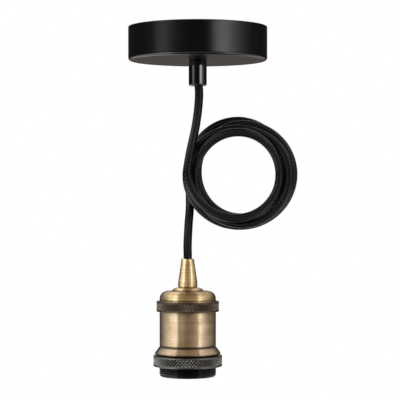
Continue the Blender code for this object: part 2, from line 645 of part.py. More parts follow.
def earth_link(material, parent):
    """The wire from the bracket's tag, out past its edge and round to the block's earth pole from behind."""
    x = pole_x(len(BLOCK_POLES) - 1)
    loop_x = x + 1.15 * BLOCK_PITCH
    tag_z = ROSE_TAG_BOTTOM + TAG_THICKNESS + GAP + CORE_RADIUS
    nut_corner = NUT_ACROSS_FLATS / 2 / math.cos(math.pi / 6)
    back = BLOCK_AXIS_Y + BLOCK_DEPTH / 2
    route = [
        (nut_corner + GAP, 0.0, tag_z),
        ((nut_corner + BRACKET_WEB_END) / 2, 0.4 * CORE_RADIUS, tag_z),
        (BRACKET_WEB_END - 2 * CORE_RADIUS, BRACKET_WIDTH / 4, tag_z + 1.2 * CORE_RADIUS),
        (BRACKET_WEB_END - CORE_RADIUS, BRACKET_WIDTH / 2 + 1.6 * CORE_RADIUS, tag_z + CORE_RADIUS),
        (loop_x, BRACKET_WIDTH / 2 + 6 * CORE_RADIUS, tag_z),
        (loop_x, back - 7 * CORE_RADIUS, (tag_z + BLOCK_WIRE_Z) / 2),
        (loop_x - 1.8 * CORE_RADIUS, back + 2 * CORE_RADIUS, BLOCK_WIRE_Z + 1.5 * CORE_RADIUS),
        (x + BLOCK_PITCH / 2, back + 5.4 * CORE_RADIUS, BLOCK_WIRE_Z + 0.3 * CORE_RADIUS),
        (x + 0.8 * CORE_RADIUS, back + 4 * CORE_RADIUS, BLOCK_WIRE_Z),
        (x, back + 0.5 * CORE_RADIUS, BLOCK_WIRE_Z),
        (x, BLOCK_AXIS_Y + CLAMP_SCREW_OFFSET - 2 * CLAMP_SCREW_RADIUS, BLOCK_WIRE_Z),
    ]
    tube("earth_link_wire", route, CORE_RADIUS, material, parent, CORE_POINT_SPACING)


def cord_coil(material, parent):
    """The outer shape of the wound cord: a turned ring whose axis runs front to back."""
    outer, inner = COIL_OUTER_RADIUS - COIL_EDGE_RADIUS, COIL_INNER_RADIUS + COIL_EDGE_RADIUS
    side = COIL_DEPTH / 2 - COIL_EDGE_RADIUS
    outline = []
    corners = ((outer, side, 90), (outer, -side, 0), (inner, -side, 270), (inner, side, 180))
    for centre, height, angle in corners:
        outline += arc(centre, height, COIL_EDGE_RADIUS, angle, angle - 90, 3)
    shape = turned_shape(outline, 48)
    shape.transform(Matrix.Translation(COIL_CENTRE) @ Matrix.Rotation(QUARTER_TURN, 4, "X"))
    return node("cord_coil", shape, material, parent)


def cone_cord_grip(material, parent):
    """A turned brass cone with a threaded foot and a close hole for the cord."""
    thread = TUBE_RADIUS + GAP
    top_edge = CONE_TOP_RADIUS - CONE_EDGE_CHAMFER
    outline = [(CORD_ENTRY_RADIUS, CONE_LENGTH), (top_edge, CONE_LENGTH)]
    outline += [(CONE_TOP_RADIUS, CONE_LENGTH - CONE_EDGE_CHAMFER)]
    outline += [(CONE_FOOT_RADIUS, CONE_FOOT_LENGTH), (CONE_FOOT_RADIUS, CONE_EDGE_CHAMFER)]
    outline += [(CONE_FOOT_RADIUS - CONE_EDGE_CHAMFER, 0.0), (thread, 0.0)]
    outline += [(thread, CONE_THREAD_DEPTH), (CORD_ENTRY_RADIUS, CONE_THREAD_DEPTH)]
    piece = node("cone_cord_grip", turned_shape(outline, 32), material, parent)
    reach = 2 * CONE_FOOT_RADIUS
    hole = rod_shape(CONE_SCREW_RADIUS + GAP, (0, 0, CONE_SCREW_HEIGHT), (0, reach, CONE_SCREW_HEIGHT), 12)
    cut(piece, "screw_hole", hole)
    return piece


def cone_radius(height):
    """The cone's outside radius at a height above its foot."""
    share = (height - CONE_FOOT_LENGTH) / (CONE_LENGTH - CONE_EDGE_CHAMFER - CONE_FOOT_LENGTH)
    return CONE_FOOT_RADIUS + (CONE_TOP_RADIUS - CONE_FOOT_RADIUS) * share


def dome_cap(material, parent):
    """The spun cap: a raised boss round the tube, a low crown, a round shoulder and a plain skirt."""
    hole = TUBE_RADIUS + GAP
    shoulder = SHELL_RADIUS - CAP_SHOULDER_RADIUS
    shoulder_z = CAP_CROWN_Z - CAP_CROWN_DROP - CAP_SHOULDER_RADIUS
    inside = SHELL_RADIUS - SHELL_WALL
    inner_edge = BOSS_EDGE_RADIUS - SHELL_WALL
    outline = [(hole, CAP_TOP)]
    outline += arc(BOSS_RADIUS - BOSS_EDGE_RADIUS, CAP_TOP - BOSS_EDGE_RADIUS, BOSS_EDGE_RADIUS, 90, 0, 3)
    outline += [(BOSS_RADIUS, CAP_CROWN_Z)]
    outline += arc(shoulder, shoulder_z, CAP_SHOULDER_RADIUS, 90, 0, 5)
    outline += [(SHELL_RADIUS, CAP_BOTTOM), (inside, CAP_BOTTOM)]
    outline += arc(shoulder, shoulder_z, CAP_SHOULDER_RADIUS - SHELL_WALL, 0, 90, 3)
    outline += [(BOSS_RADIUS - SHELL_WALL, CAP_CROWN_Z - SHELL_WALL)]
    boss_inside = BOSS_RADIUS - SHELL_WALL - inner_edge
    outline += arc(boss_inside, CAP_TOP - SHELL_WALL - inner_edge, inner_edge, 0, 90, 1)
    outline += [(hole, CAP_TOP - SHELL_WALL)]
    return node("dome_cap", turned_shape(outline, 48), material, parent)


def cap_ring(material, parent):
    """The smaller ring, with chamfered outer edges, which joins the cap and the body."""
    bore = SHELL_RADIUS + GAP
    edge = CAP_RING_RADIUS - CAP_RING_CHAMFER
    outline = [(bore, CAP_RING_TOP), (edge, CAP_RING_TOP)]
    outline += [(CAP_RING_RADIUS, CAP_RING_TOP - CAP_RING_CHAMFER)]
    outline += [(CAP_RING_RADIUS, CAP_RING_BOTTOM + CAP_RING_CHAMFER)]
    outline += [(edge, CAP_RING_BOTTOM), (bore, CAP_RING_BOTTOM)]
    return node("cap_ring", turned_shape(outline, 48), material, parent)


def shade_ring(material, parent):
    """The larger ring. A narrow raised land round its bore is where a shade lies."""
    bore = THREAD_RADIUS + GAP
    shoulder = SHADE_RING_TOP - SEAT_LAND_HEIGHT
    outline = [(bore, SHADE_RING_TOP), (bore + SEAT_LAND_WIDTH, SHADE_RING_TOP)]
    outline += [(bore + SEAT_LAND_WIDTH + SEAT_LAND_HEIGHT, shoulder)]
    outline += [(SHADE_RING_RADIUS - SEAT_EDGE_CHAMFER, shoulder)]
    outline += [(SHADE_RING_RADIUS, shoulder - SEAT_EDGE_CHAMFER)]
    outline += [(SHADE_RING_RADIUS, SHADE_RING_BOTTOM + SHADE_RING_CHAMFER)]
    outline += [(SHADE_RING_RADIUS - SHADE_RING_CHAMFER, SHADE_RING_BOTTOM), (bore, SHADE_RING_BOTTOM)]
    return node("shade_ring", turned_shape(outline, 48), material, parent)


def holder_body(material, parent):
    """The brass tube, flared at its foot to a short upright lip."""
    inside = SHELL_RADIUS - SHELL_WALL
    lip_inside = FLARE_RADIUS - SHELL_WALL
    lip_top = FLARE_TOP - FLARE_HEIGHT
    cone_drop = SHELL_WALL * math.tan(math.atan2(FLARE_RADIUS - SHELL_RADIUS, FLARE_HEIGHT) / 2)
    outline = [(inside, BODY_TOP), (SHELL_RADIUS, BODY_TOP), (SHELL_RADIUS, FLARE_TOP)]
    outline += [(FLARE_RADIUS, lip_top), (FLARE_RADIUS, BODY_BOTTOM + FLARE_EDGE_CHAMFER)]
    outline += [(FLARE_RADIUS - FLARE_EDGE_CHAMFER, BODY_BOTTOM)]
    outline += [(lip_inside, BODY_BOTTOM), (lip_inside, lip_top - cone_drop)]
    outline += [(inside, FLARE_TOP - cone_drop)]
    return node("holder_body", turned_shape(outline, 48), material, parent)


def insulator_body(material, parent):
    """The moulded liner: a threaded skirt below, a spigot in the brass body above, and a stepped bore."""
    spigot = SHELL_RADIUS - SHELL_WALL - GAP
    bore = BASE_RADIUS + GAP
    mouth = MOUTH_RADIUS
    root = THREAD_RADIUS - THREAD_DEPTH
    ledge = BASE_BOTTOM - GAP
    outline = [(bore, INSULATOR_TOP), (spigot, INSULATOR_TOP), (spigot, SKIRT_TOP), (root, SKIRT_TOP)]
    ridges = int((SKIRT_TOP - SKIRT_BOTTOM - SKIRT_EDGE_CHAMFER) / THREAD_PITCH)
    first = SKIRT_BOTTOM + SKIRT_EDGE_CHAMFER + (ridges - 0.5) * THREAD_PITCH
    for i in range(ridges):
        crest = first - i * THREAD_PITCH
        outline += [(THREAD_RADIUS, crest), (root, crest - THREAD_PITCH / 2)]
    outline += [(root - SKIRT_EDGE_CHAMFER, SKIRT_BOTTOM), (mouth + MOUTH_CHAMFER, SKIRT_BOTTOM)]
    outline += [(mouth, SKIRT_BOTTOM + MOUTH_CHAMFER), (mouth, ledge), (bore, ledge)]
    return node("insulator_body", turned_shape(outline, 48), material, parent)


def socket_base(material, parent):
    """A moulded disc with a barrier between the terminals and a hole for each contact's stem."""
    edge = 0.5 * MM
    outline = [(0.0, BASE_TOP), (BASE_RADIUS - edge, BASE_TOP), (BASE_RADIUS, BASE_TOP - edge)]
    outline += [(BASE_RADIUS, BASE_BOTTOM), (0.0, BASE_BOTTOM)]
    piece = node("socket_base", turned_shape(outline, 32), material, parent)
    half_x, half_y = BASE_RIB_THICKNESS / 2, BASE_RIB_LENGTH / 2
    rib = box_shape((-half_x, -half_y, BASE_TOP - edge), (half_x, half_y, BASE_TOP + BASE_RIB_HEIGHT))
    join(piece, "rib", rib)
    for name, x in (("live", LIVE_STEM_X), ("neutral", NEUTRAL_STEM_X)):
        hole = rod_shape(STEM_RADIUS + GAP, (x, 0, BASE_BOTTOM - GAP), (x, 0, BASE_TOP + GAP), 12)
        cut(piece, f"{name}_hole", hole)
    return piece


def screw_shell(material, parent):
    """The lamp's thread: sheet rolled in waves, with a flange under the socket base."""
    top = BASE_BOTTOM - GAP
    wave_top = top - SHELL_SHEET
    mean = LAMP_THREAD_RADIUS - LAMP_THREAD_DEPTH / 2
    steps = 4 * LAMP_THREAD_TURNS
    wave = []
    for i in range(steps + 1):
        swell = LAMP_THREAD_DEPTH / 2 * math.cos(QUARTER_TURN * i)
        wave.append((mean + swell, wave_top - LAMP_THREAD_PITCH * i / 4))
    outline = [(radius + SHELL_SHEET, height) for radius, height in wave]
    outline[0] = (outline[0][0], top)
    outline += wave[::-1]
    outline += [(SHELL_FLANGE_HOLE_RADIUS, wave_top), (SHELL_FLANGE_HOLE_RADIUS, top)]
    piece = node("screw_shell", turned_shape(outline, 32), material, parent)
    low, high = (NEUTRAL_STEM_X, 0, wave_top - GAP), (NEUTRAL_STEM_X, 0, top + GAP)
    hole = rod_shape(STEM_RADIUS + GAP, low, high, 12)
    cut(piece, "stem_hole", hole)
    return piece


def centre_contact(material, parent):
    """A leaf spring under the socket base, bent down to the middle of the socket."""
    top = BASE_BOTTOM - GAP
    start = LIVE_STEM_X - STEM_RADIUS - GAP - 0.9 * MM
    knee = LIVE_STEM_X + STEM_HEAD_RADIUS + GAP
    path = [(start, top), (knee, top), (knee + CONTACT_DROP * 0.6, top - CONTACT_DROP)]
    path += [(CONTACT_REACH, top - CONTACT_DROP * 1.12)]
    path += [(CONTACT_REACH + 0.3 * CONTACT_WIDTH, top - CONTACT_DROP * 0.95)]
    half = CONTACT_WIDTH / 2
    leaf = prism_shape(strip_outline(path, CONTACT_SHEET), -half, half, across_y)
    piece = node("centre_contact", leaf, material, parent)
    low, high = (LIVE_STEM_X, 0, top - CONTACT_SHEET - GAP), (LIVE_STEM_X, 0, top + GAP)
    hole = rod_shape(STEM_RADIUS + GAP, low, high, 12)
    cut(piece, "stem_hole", hole)
    return piece


def terminal(pole, wire_x, stem_x, contact_sheet, brass, steel, parent):
    """A brass block on the socket base, its riveted stem, and its clamp screw towards the front."""
    wall = TERMINAL_LENGTH / 2 - abs(stem_x - wire_x) / 2
    low_x, high_x = min(wire_x, stem_x) - wall, max(wire_x, stem_x) + wall
    half_y = TERMINAL_WIDTH / 2
    block = box_shape((low_x, -half_y, TERMINAL_BOTTOM), (high_x, half_y, TERMINAL_TOP))
    piece = node(f"{pole}_terminal", block, brass, parent)
    head_top = BASE_BOTTOM - GAP - contact_sheet - GAP
    head_bottom = head_top - STEM_HEAD_HEIGHT
    stem_top = TERMINAL_BOTTOM + STEM_RADIUS
    join(piece, "stem", rod_shape(STEM_RADIUS, (stem_x, 0, head_bottom + GAP), (stem_x, 0, stem_top), 12))
    head = rod_shape(STEM_HEAD_RADIUS, (stem_x, 0, head_bottom), (stem_x, 0, head_top), 12)
    join(piece, "rivet_head", head)
    wire_bottom = TERMINAL_TOP - TERMINAL_WIRE_DEPTH
    low, high = (wire_x, 0, wire_bottom), (wire_x, 0, TERMINAL_TOP + GAP)
    wire_hole = rod_shape(CORE_RADIUS + 1.5 * GAP, low, high, 12)
    cut(piece, "wire_hole", wire_hole)
    inner_end, outer_end = (wire_x, 0, TERMINAL_SCREW_Z), (wire_x, -half_y - GAP, TERMINAL_SCREW_Z)
    cut(piece, "screw_hole", rod_shape(CLAMP_SCREW_RADIUS + GAP, inner_end, outer_end, 12))
    tip_y = -CORE_RADIUS - GAP
    clamp_screw(
        f"{pole}_terminal_screw",
        (wire_x, tip_y, TERMINAL_SCREW_Z),
        (0, -1, 0),
        half_y + GAP + tip_y,
        TERMINAL_SCREW_HEAD_RADIUS,
        TERMINAL_SCREW_HEAD_HEIGHT,
        steel,
        parent,
    )


def holder_cores(materials, parent):
    """The cores from the cord's lower end: two down into the terminals, and the earth up to its tag."""
    start_z = CORD_END_Z - GAP
    wire_end = TERMINAL_TOP - TERMINAL_WIRE_DEPTH + GAP
    for pole, degrees, wire_x in (("live", 180, LIVE_WIRE_X), ("neutral", 300, NEUTRAL_WIRE_X)):
        x, y = core_start(degrees)
        fall = TERMINAL_TOP - start_z
        route = [
            (x, y, start_z),
            (x * 1.15, y, start_z + fall * 0.18),
            ((x + wire_x) / 2, y * 0.6, start_z + fall * 0.48),
            (wire_x * 0.96, 0.0, start_z + fall * 0.78),
            (wire_x, 0.0, TERMINAL_TOP + 0.8 * CORE_RADIUS),
            (wire_x, 0.0, wire_end),
        ]
        tube(f"holder_core_{pole}", route, CORE_RADIUS, materials[pole], parent, CORE_POINT_SPACING)
    x, y = core_start(60)
    tail_y = tag_tail_y() + GAP + CORE_RADIUS
    tail_bottom = HOLDER_TAG_TOP - HOLDER_TAG_TAIL_DROP
    route = [
        (x, y, start_z),
        (x, y + 0.8 * CORE_RADIUS, start_z - 3.2 * CORE_RADIUS),
        (x * 0.5, y + 4.0 * CORE_RADIUS, start_z - 5.4 * CORE_RADIUS),
        (0.0, tail_y - 1.4 * CORE_RADIUS, start_z - 4.4 * CORE_RADIUS),
        (0.0, tail_y, tail_bottom + 0.4 * CORE_RADIUS),
        (0.0, tail_y, tail_bottom + 3.8 * CORE_RADIUS),
    ]
    tube("holder_core_earth", route, CORE_RADIUS, materials["earth"], parent, CORE_POINT_SPACING)


def clear_scene():
    for item in list(bpy.data.objects):
        bpy.data.objects.remove(item, do_unlink=True)


def main():
    clear_scene()
    black_paint = finish("satin_black_paint", "#2b2a2b", 0.35)
    black_plastic = finish("glossy_black_plastic", "#131313", 0.15)
    black_moulding = finish("black_moulding", "#17171a", 0.4)
    textile = finish("black_textile", "#2c2a2b", 0.85)
    brass = finish("antique_brass", "#a58c66", 0.3, 1.0)
    bronze = finish("dark_bronze", "#5a5650", 0.45, 1.0)
    steel = finish("zinc_plated_steel", "#b6b8ba", 0.35, 1.0)
    bright_brass = finish("bright_brass", "#c9a75a", 0.3, 1.0)
    white_plastic = finish("white_plastic", "#e6e4dc", 0.45)
    ceramic = finish("cream_moulding", "#d9d3c4", 0.35)
    cores = {
        "live": finish("brown_insulation", "#6b3a1e", 0.45),
        "neutral": finish("blue_insulation", "#2a5fa8", 0.45),
        "earth": finish("green_yellow_insulation", "#8aa62c", 0.45),
    }

    rose = empty("rose_axis", (0.0, 0.0, 0.0))
    canopy(black_paint, rose)
    ceiling_bracket(steel, rose)
    threaded_tube("canopy_nipple", GRIP_THREAD_END + GAP, ROSE_TUBE_TOP, steel, rose)
    nut("bracket_nut_upper", ROSE_NUT_BOTTOM, steel, rose)
    nut("bracket_nut_lower", BRACKET_WEB_BOTTOM - GAP - NUT_HEIGHT, steel, rose)
    rose_earth_tag(bright_brass, rose)
    canopy_cord_grip(black_plastic, rose)
    screw_end = GRIP_RADIUS - GAP
    set_screw("grip_set_screw", GRIP_SCREW_RADIUS, screw_end, GRIP_SCREW_Z, black_plastic, rose)
    terminal_block(white_plastic, bright_brass, steel, rose)
    rose_cores(cores, rose)
    earth_link(cores["earth"], rose)

    tube("cord_upper", CORD_UPPER_ROUTE, CORD_RADIUS, textile, rose, CORD_POINT_SPACING, 3)
    cord_coil(textile, rose)
    tube("cord_lower", CORD_LOWER_ROUTE, CORD_RADIUS, textile, rose, CORD_POINT_SPACING, 3)

    holder = empty("holder_axis", (HOLDER_X, 0.0, HOLDER_Z))
    cone_cord_grip(brass, holder)
    screw_end = cone_radius(CONE_SCREW_HEIGHT) - GAP
    set_screw("cone_set_screw", CONE_SCREW_RADIUS, screw_end, CONE_SCREW_HEIGHT, steel, holder)
    threaded_tube("holder_nipple", HOLDER_TUBE_BOTTOM, CONE_THREAD_DEPTH - GAP, steel, holder)
    holder_earth_tag(bright_brass, holder)
    nut("holder_nut", HOLDER_NUT_TOP - NUT_HEIGHT, steel, holder)
    dome_cap(brass, holder)
    cap_ring(bronze, holder)
    holder_body(brass, holder)
    shade_ring(bronze, holder)
    insulator_body(black_moulding, holder)
    socket_base(ceramic, holder)
    screw_shell(bright_brass, holder)
    centre_contact(bright_brass, holder)
    terminal("live", LIVE_WIRE_X, LIVE_STEM_X, CONTACT_SHEET, bright_brass, steel, holder)
    terminal("neutral", NEUTRAL_WIRE_X, NEUTRAL_STEM_X, SHELL_SHEET, bright_brass, steel, holder)
    holder_cores(cores, holder)


main()
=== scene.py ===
"""Looks of a hanging lamp set: black ceiling rose, coiled textile cord and antique-brass lampholder.

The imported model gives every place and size, in metres with +Z up, and the front faces -Y. Each new
piece is a surface worked out on a grid of two parameters: a profile turned about a vertical line, or a
circle carried along a path. All patterns take their scale from sizes in millimetres.
"""

import bmesh
import bpy
import numpy as np
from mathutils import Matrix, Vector


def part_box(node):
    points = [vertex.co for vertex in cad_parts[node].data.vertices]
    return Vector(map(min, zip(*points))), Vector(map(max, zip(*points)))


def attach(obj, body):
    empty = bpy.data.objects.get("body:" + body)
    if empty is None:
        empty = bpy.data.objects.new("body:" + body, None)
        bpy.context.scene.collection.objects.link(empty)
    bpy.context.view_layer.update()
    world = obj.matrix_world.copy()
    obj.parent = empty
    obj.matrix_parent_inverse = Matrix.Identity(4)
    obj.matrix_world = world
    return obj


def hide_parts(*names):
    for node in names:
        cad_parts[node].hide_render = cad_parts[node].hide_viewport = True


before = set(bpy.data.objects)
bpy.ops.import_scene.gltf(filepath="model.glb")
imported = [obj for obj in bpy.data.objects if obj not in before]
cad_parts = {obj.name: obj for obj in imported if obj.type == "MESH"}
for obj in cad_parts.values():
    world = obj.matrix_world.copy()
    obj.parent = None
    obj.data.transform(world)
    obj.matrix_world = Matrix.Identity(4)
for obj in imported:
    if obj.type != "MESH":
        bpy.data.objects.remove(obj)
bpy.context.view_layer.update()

MM = 0.001
TURN = 2 * np.pi
# Points closer than this are taken as one
SAME = 0.001 * MM
# Clearance round a screw and under the socket base
GAP = 0.3 * MM
# Radius of the holes that take the hollow M10 tubes
TUBE_HOLE = 5.3 * MM


def span(node):
    """A node's lowest and highest corner."""
    low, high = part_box(node)
    return np.array(low), np.array(high)


def turned_size(node, axis=(0.0, 0.0)):
    """A round node's outer radius about its axis, and its lowest and highest level."""
    low, high = span(node)
    return high[0] - axis[0], low[2], high[2]


def angles(count):
    """Even angles round one turn, from 0."""
    return np.arange(count) * TURN / count


# Shapes


def rounded(corners, steps=7):
    """A closed profile with rounded corners, from (radius, height, rounding) rows.

    An arc touches both edges of its corner: it starts rounding * tan(half the turn) before the corner and
    goes round a centre that lies one rounding to the side of the edge.
    """
    rows = np.array(corners, float)
    point, rounding = rows[:, :2], rows[:, 2:]
    before = point - np.roll(point, 1, axis=0)
    after = np.roll(point, -1, axis=0) - point
    before /= np.linalg.norm(before, axis=1, keepdims=True)
    after /= np.linalg.norm(after, axis=1, keepdims=True)
    cross = before[:, :1] * after[:, 1:] - before[:, 1:] * after[:, :1]
    turn = np.arctan2(cross, (before * after).sum(axis=1, keepdims=True))
    start = point - before * rounding * np.tan(np.abs(turn) / 2)
    across = np.column_stack([-before[:, 1], before[:, 0]]) * np.sign(turn)
    centre = start + across * rounding
    angle = turn * np.linspace(0.0, 1.0, steps)
    spoke = -across * rounding
    x = centre[:, :1] + spoke[:, :1] * np.cos(angle) - spoke[:, 1:] * np.sin(angle)
    z = centre[:, 1:] + spoke[:, :1] * np.sin(angle) + spoke[:, 1:] * np.cos(angle)
    profile = np.column_stack([x.ravel(), z.ravel()])
    apart = np.linalg.norm(profile - np.roll(profile, 1, axis=0), axis=1)
    return profile[apart > SAME]


def way_along(points):
    """How far each point lies from the first, along the straight lines between them."""
    return np.concatenate([[0.0], np.cumsum(np.linalg.norm(np.diff(points, axis=0), axis=1))])


def filled(profile, spacing):
    """The same profile with extra points on its long edges, so that smooth shading stays near each corner."""
    loop = np.vstack([profile, profile[:1]])
    at = way_along(loop)
    wanted = np.union1d(at, np.arange(0.0, at[-1], spacing))
    wanted = wanted[np.concatenate([[True], np.diff(wanted) > 2 * SAME])]
    return np.column_stack([np.interp(wanted, at, loop[:, 0]), np.interp(wanted, at, loop[:, 1])])[:-1]


def turned(profile, around, axis=(0.0, 0.0)):
    """A grid of points: the profile at each angle, at (radius * cos, radius * sin, height) about the axis."""
    angle = angles(around)
    radius, height = profile[:, :1], profile[:, 1:]
    x = axis[0] + radius * np.cos(angle)
    y = axis[1] + radius * np.sin(angle)
    return np.stack([x, y, height + 0.0 * angle], axis=-1)


def through(points, steps):
    """Points on the smooth curve through some others: each stretch is a cubic of its four neighbours."""
    p = np.array(points, float)
    p = np.vstack([2 * p[0] - p[1], p, 2 * p[-1] - p[-2]])
    t = (np.arange(steps) / steps)[None, :, None]
    a, b, c, d = (p[i : len(p) - 3 + i, None] for i in range(4))
    fine = b + 0.5 * t * (c - a + t * (2 * a - 5 * b + 4 * c - d + t * (3 * b - a - 3 * c + d)))
    return np.vstack([fine.reshape(-1, p.shape[1]), p[-2]])


def smooth_route(route, spacing):
    """Even points on the smooth curve through a route's points."""
    fine = through(route, steps=24)
    at = way_along(fine)
    even = np.linspace(0.0, at[-1], int(round(at[-1] / spacing)) + 1)
    return np.column_stack([np.interp(even, at, fine[:, i]) for i in range(3)])


def carried(path, radius, around):
    """A grid of circles along a path. Each stands square to the path, and starts from the path's side.

    The side is square to the path and to y, and a point lies at the path's point plus radius * (cos * side +
    sin * up).
    """
    way = np.gradient(path, axis=0)
    way /= np.linalg.norm(way, axis=1, keepdims=True)
    side = np.cross(way, (0.0, 1.0, 0.0))
    side /= np.linalg.norm(side, axis=1, keepdims=True)
    up = np.cross(side, way)
    angle = angles(around)[None, :, None]
    return path[:, None] + radius * (np.cos(angle) * side[:, None] + np.sin(angle) * up[:, None])


def wind(grid, share, foot, pitch, depth):
    """Turns a grid's rows into a screw thread about their own axis.

    Each point moves outwards by its row's share of the depth, times half of 1 + cos of the phase. The phase
    turns once round the axis, and once in each pitch of height above the foot.
    """
    angle = angles(grid.shape[1])
    swell = 0.5 + 0.5 * np.cos(TURN * (grid[..., 2] - foot) / pitch - angle)
    outward = np.stack([np.cos(angle), np.sin(angle)], axis=-1)
    grid[..., :2] += outward * (share * depth * swell)[..., None]


def put(name, mesh, material, body, smooth=35.0):
    """An object for a finished mesh, riding on its body and taking the material that it is given."""
    mesh.shade_smooth()
    mesh.set_sharp_from_angle(angle=np.radians(smooth))
    mesh.materials.append(material)
    piece = bpy.data.objects.new(name, mesh)
    bpy.context.scene.collection.objects.link(piece)
    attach(piece, body)
    return piece


def drilled(mesh, screw, middle, depth):
    """The mesh with a round hole for a set screw, bored from the back and applied as a cut.

    The hole follows the screw's own axis, along y, and reaches this depth to both sides of the middle.
    """
    low, high = span(screw)
    centre = (low + high) / 2
    radius = high[0] - centre[0] + GAP
    sides = 32
    x = centre[0] + radius * np.cos(angles(sides))
    z = centre[2] + radius * np.sin(angles(sides))
    ends = [np.column_stack([x, np.full(sides, y), z]) for y in (middle - depth, middle + depth)]
    front = np.arange(sides)
    back = front + sides
    walls = np.column_stack([back, np.roll(back, -1), np.roll(front, -1), front])
    cutter = bpy.data.meshes.new("drill")
    cutter.from_pydata(np.vstack(ends).tolist(), [], [front.tolist(), back[::-1].tolist(), *walls.tolist()])
    block = bpy.data.objects.new("drill", cutter)
    piece = bpy.data.objects.new("drilled", mesh)
    for item in (block, piece):
        bpy.context.scene.collection.objects.link(item)
    cut = piece.modifiers.new("hole", "BOOLEAN")
    cut.operation = "DIFFERENCE"
    cut.solver = "EXACT"
    cut.object = block
    bpy.context.view_layer.update()
    result = bpy.data.meshes.new_from_object(piece.evaluated_get(bpy.context.evaluated_depsgraph_get()))
    bpy.data.objects.remove(piece)
    bpy.data.objects.remove(block)
    result.name = mesh.name
    return result


def skin(name, grid, capped=False, relief=None, lengths=None, wear_and_painted_light=None):
    """The mesh of a grid whose second way goes round: a face between each four neighbours.

    The first way closes on itself too, or else it is capped with a fan at each end. A relief gives each
    point's height, and faces are then split along their lower diagonal, which keeps grooves straight.
    Lengths are the way along to each row and the full way round, for the UV map. Wear and painted light
    are a number at each point, kept as an attribute for the material: patina and worn places, with painted
    shade and painted highlights. Faces are turned outwards by the sign of the volume.
    """
    rows, columns = grid.shape[:2]
    points = grid.reshape(-1, 3)
    i = np.arange(rows - 1 if capped else rows)[:, None]
    j = np.arange(columns)[None, :]
    below, beside = (i + 1) % rows, (j + 1) % columns
    quads = np.stack(
        [i * columns + j, i * columns + beside, below * columns + beside, below * columns + j], axis=-1
    ).reshape(-1, 4)
    triangles = np.zeros((0, 3), int)
    if relief is not None:
        high = relief.ravel()[quads]
        other = high[:, 0] + high[:, 2] > high[:, 1] + high[:, 3]
        quads = np.where(other[:, None], np.roll(quads, -1, axis=1), quads)
        triangles = np.vstack([quads[:, [0, 1, 2]], quads[:, [0, 2, 3]]])
        quads = np.zeros((0, 4), int)
    if capped:
        first, last = points[:columns].mean(axis=0), points[-columns:].mean(axis=0)
        points = np.vstack([points, first, last])
        ring = np.arange(columns)
        start = np.column_stack([np.roll(ring, -1), ring, np.full(columns, rows * columns)])
        far = ring + (rows - 1) * columns
        end = np.column_stack([far, np.roll(far, -1), np.full(columns, rows * columns + 1)])
        triangles = np.vstack([triangles, start, end])
    flat = np.vstack([quads[:, [0, 1, 2]], quads[:, [0, 2, 3]], triangles])
    corner = points[flat] - points.mean(axis=0)
    if np.einsum("ij,ij->i", corner[:, 0], np.cross(corner[:, 1], corner[:, 2])).sum() < 0:
        quads, triangles = quads[:, ::-1], triangles[:, ::-1]
    loops = np.concatenate([quads.ravel(), triangles.ravel()])
    starts = np.concatenate([np.arange(len(quads)) * 4, len(quads) * 4 + np.arange(len(triangles)) * 3])
    mesh = bpy.data.meshes.new(name)
    mesh.vertices.add(len(points))
    mesh.vertices.foreach_set("co", points.astype(np.float32).ravel())
    mesh.loops.add(len(loops))
    mesh.loops.foreach_set("vertex_index", loops.astype(np.int32))
    mesh.polygons.add(len(starts))
    mesh.polygons.foreach_set("loop_start", starts.astype(np.int32))
    mesh.update(calc_edges=True)
    if wear_and_painted_light is not None:
        layer = mesh.attributes.new("wear_and_painted_light", "FLOAT", "POINT")
        layer.data.foreach_set("value", np.broadcast_to(wear_and_painted_light, (rows, columns)).astype(np.float32).ravel())
    if lengths is not None:
        along, around = lengths
        row, column = loops // columns, loops % columns
        cap = row >= rows
        row, column = np.where(cap, 0, row), np.where(cap, 0, column)
        # Faces after the last column end at column 0 again, where the way round has its full length
        face = np.repeat(np.arange(len(starts)), np.diff(np.append(starts, len(loops))))
        widest = np.zeros(len(starts), int)
        np.maximum.at(widest, face, column)
        back_at_start = (column == 0) & (widest[face] == columns - 1)
        u = np.where(back_at_start, around, column * around / columns)
        layer = mesh.uv_layers.new(name="yarn")
        layer.uv.foreach_set("vector", np.column_stack([u, along[row]]).astype(np.float32).ravel())
    return mesh


# Materials


def linear(code):
    """An sRGB hex colour as linear red, green and blue, with an alpha of 1."""
    level = np.array([int(code[i : i + 2], 16) for i in (1, 3, 5)]) / 255
    return (*np.where(level <= 0.04045, level / 12.92, ((level + 0.055) / 1.055) ** 2.4).tolist(), 1.0)


def add(tree, kind, inputs=(), **settings):
    """Adds a node with its settings. Inputs maps each socket to a value or to another node's output."""
    node = tree.nodes.new("ShaderNode" + kind)
    for field, value in settings.items():
        setattr(node, field, value)
    for socket, value in dict(inputs).items():
        if isinstance(value, bpy.types.NodeSocket):
            tree.links.new(value, node.inputs[socket])
        else:
            node.inputs[socket].default_value = value
    return node


def begin(name):
    """A material with an empty node tree, and that tree."""
    material = bpy.data.materials.new(name)
    material.use_nodes = True
    material.node_tree.nodes.clear()
    return material, material.node_tree


def close(tree, **inputs):
    """Ends a material's tree in a Principled surface. Socket names are written with _ for a space."""
    shader = add(tree, "BsdfPrincipled", {name.replace("_", " "): value for name, value in inputs.items()})
    add(tree, "OutputMaterial", {"Surface": shader.outputs[0]})


def per_mm(size):
    """A texture's scale, in repeats per metre, for a pattern of this size in millimetres."""
    return 1.0 / (size * MM)


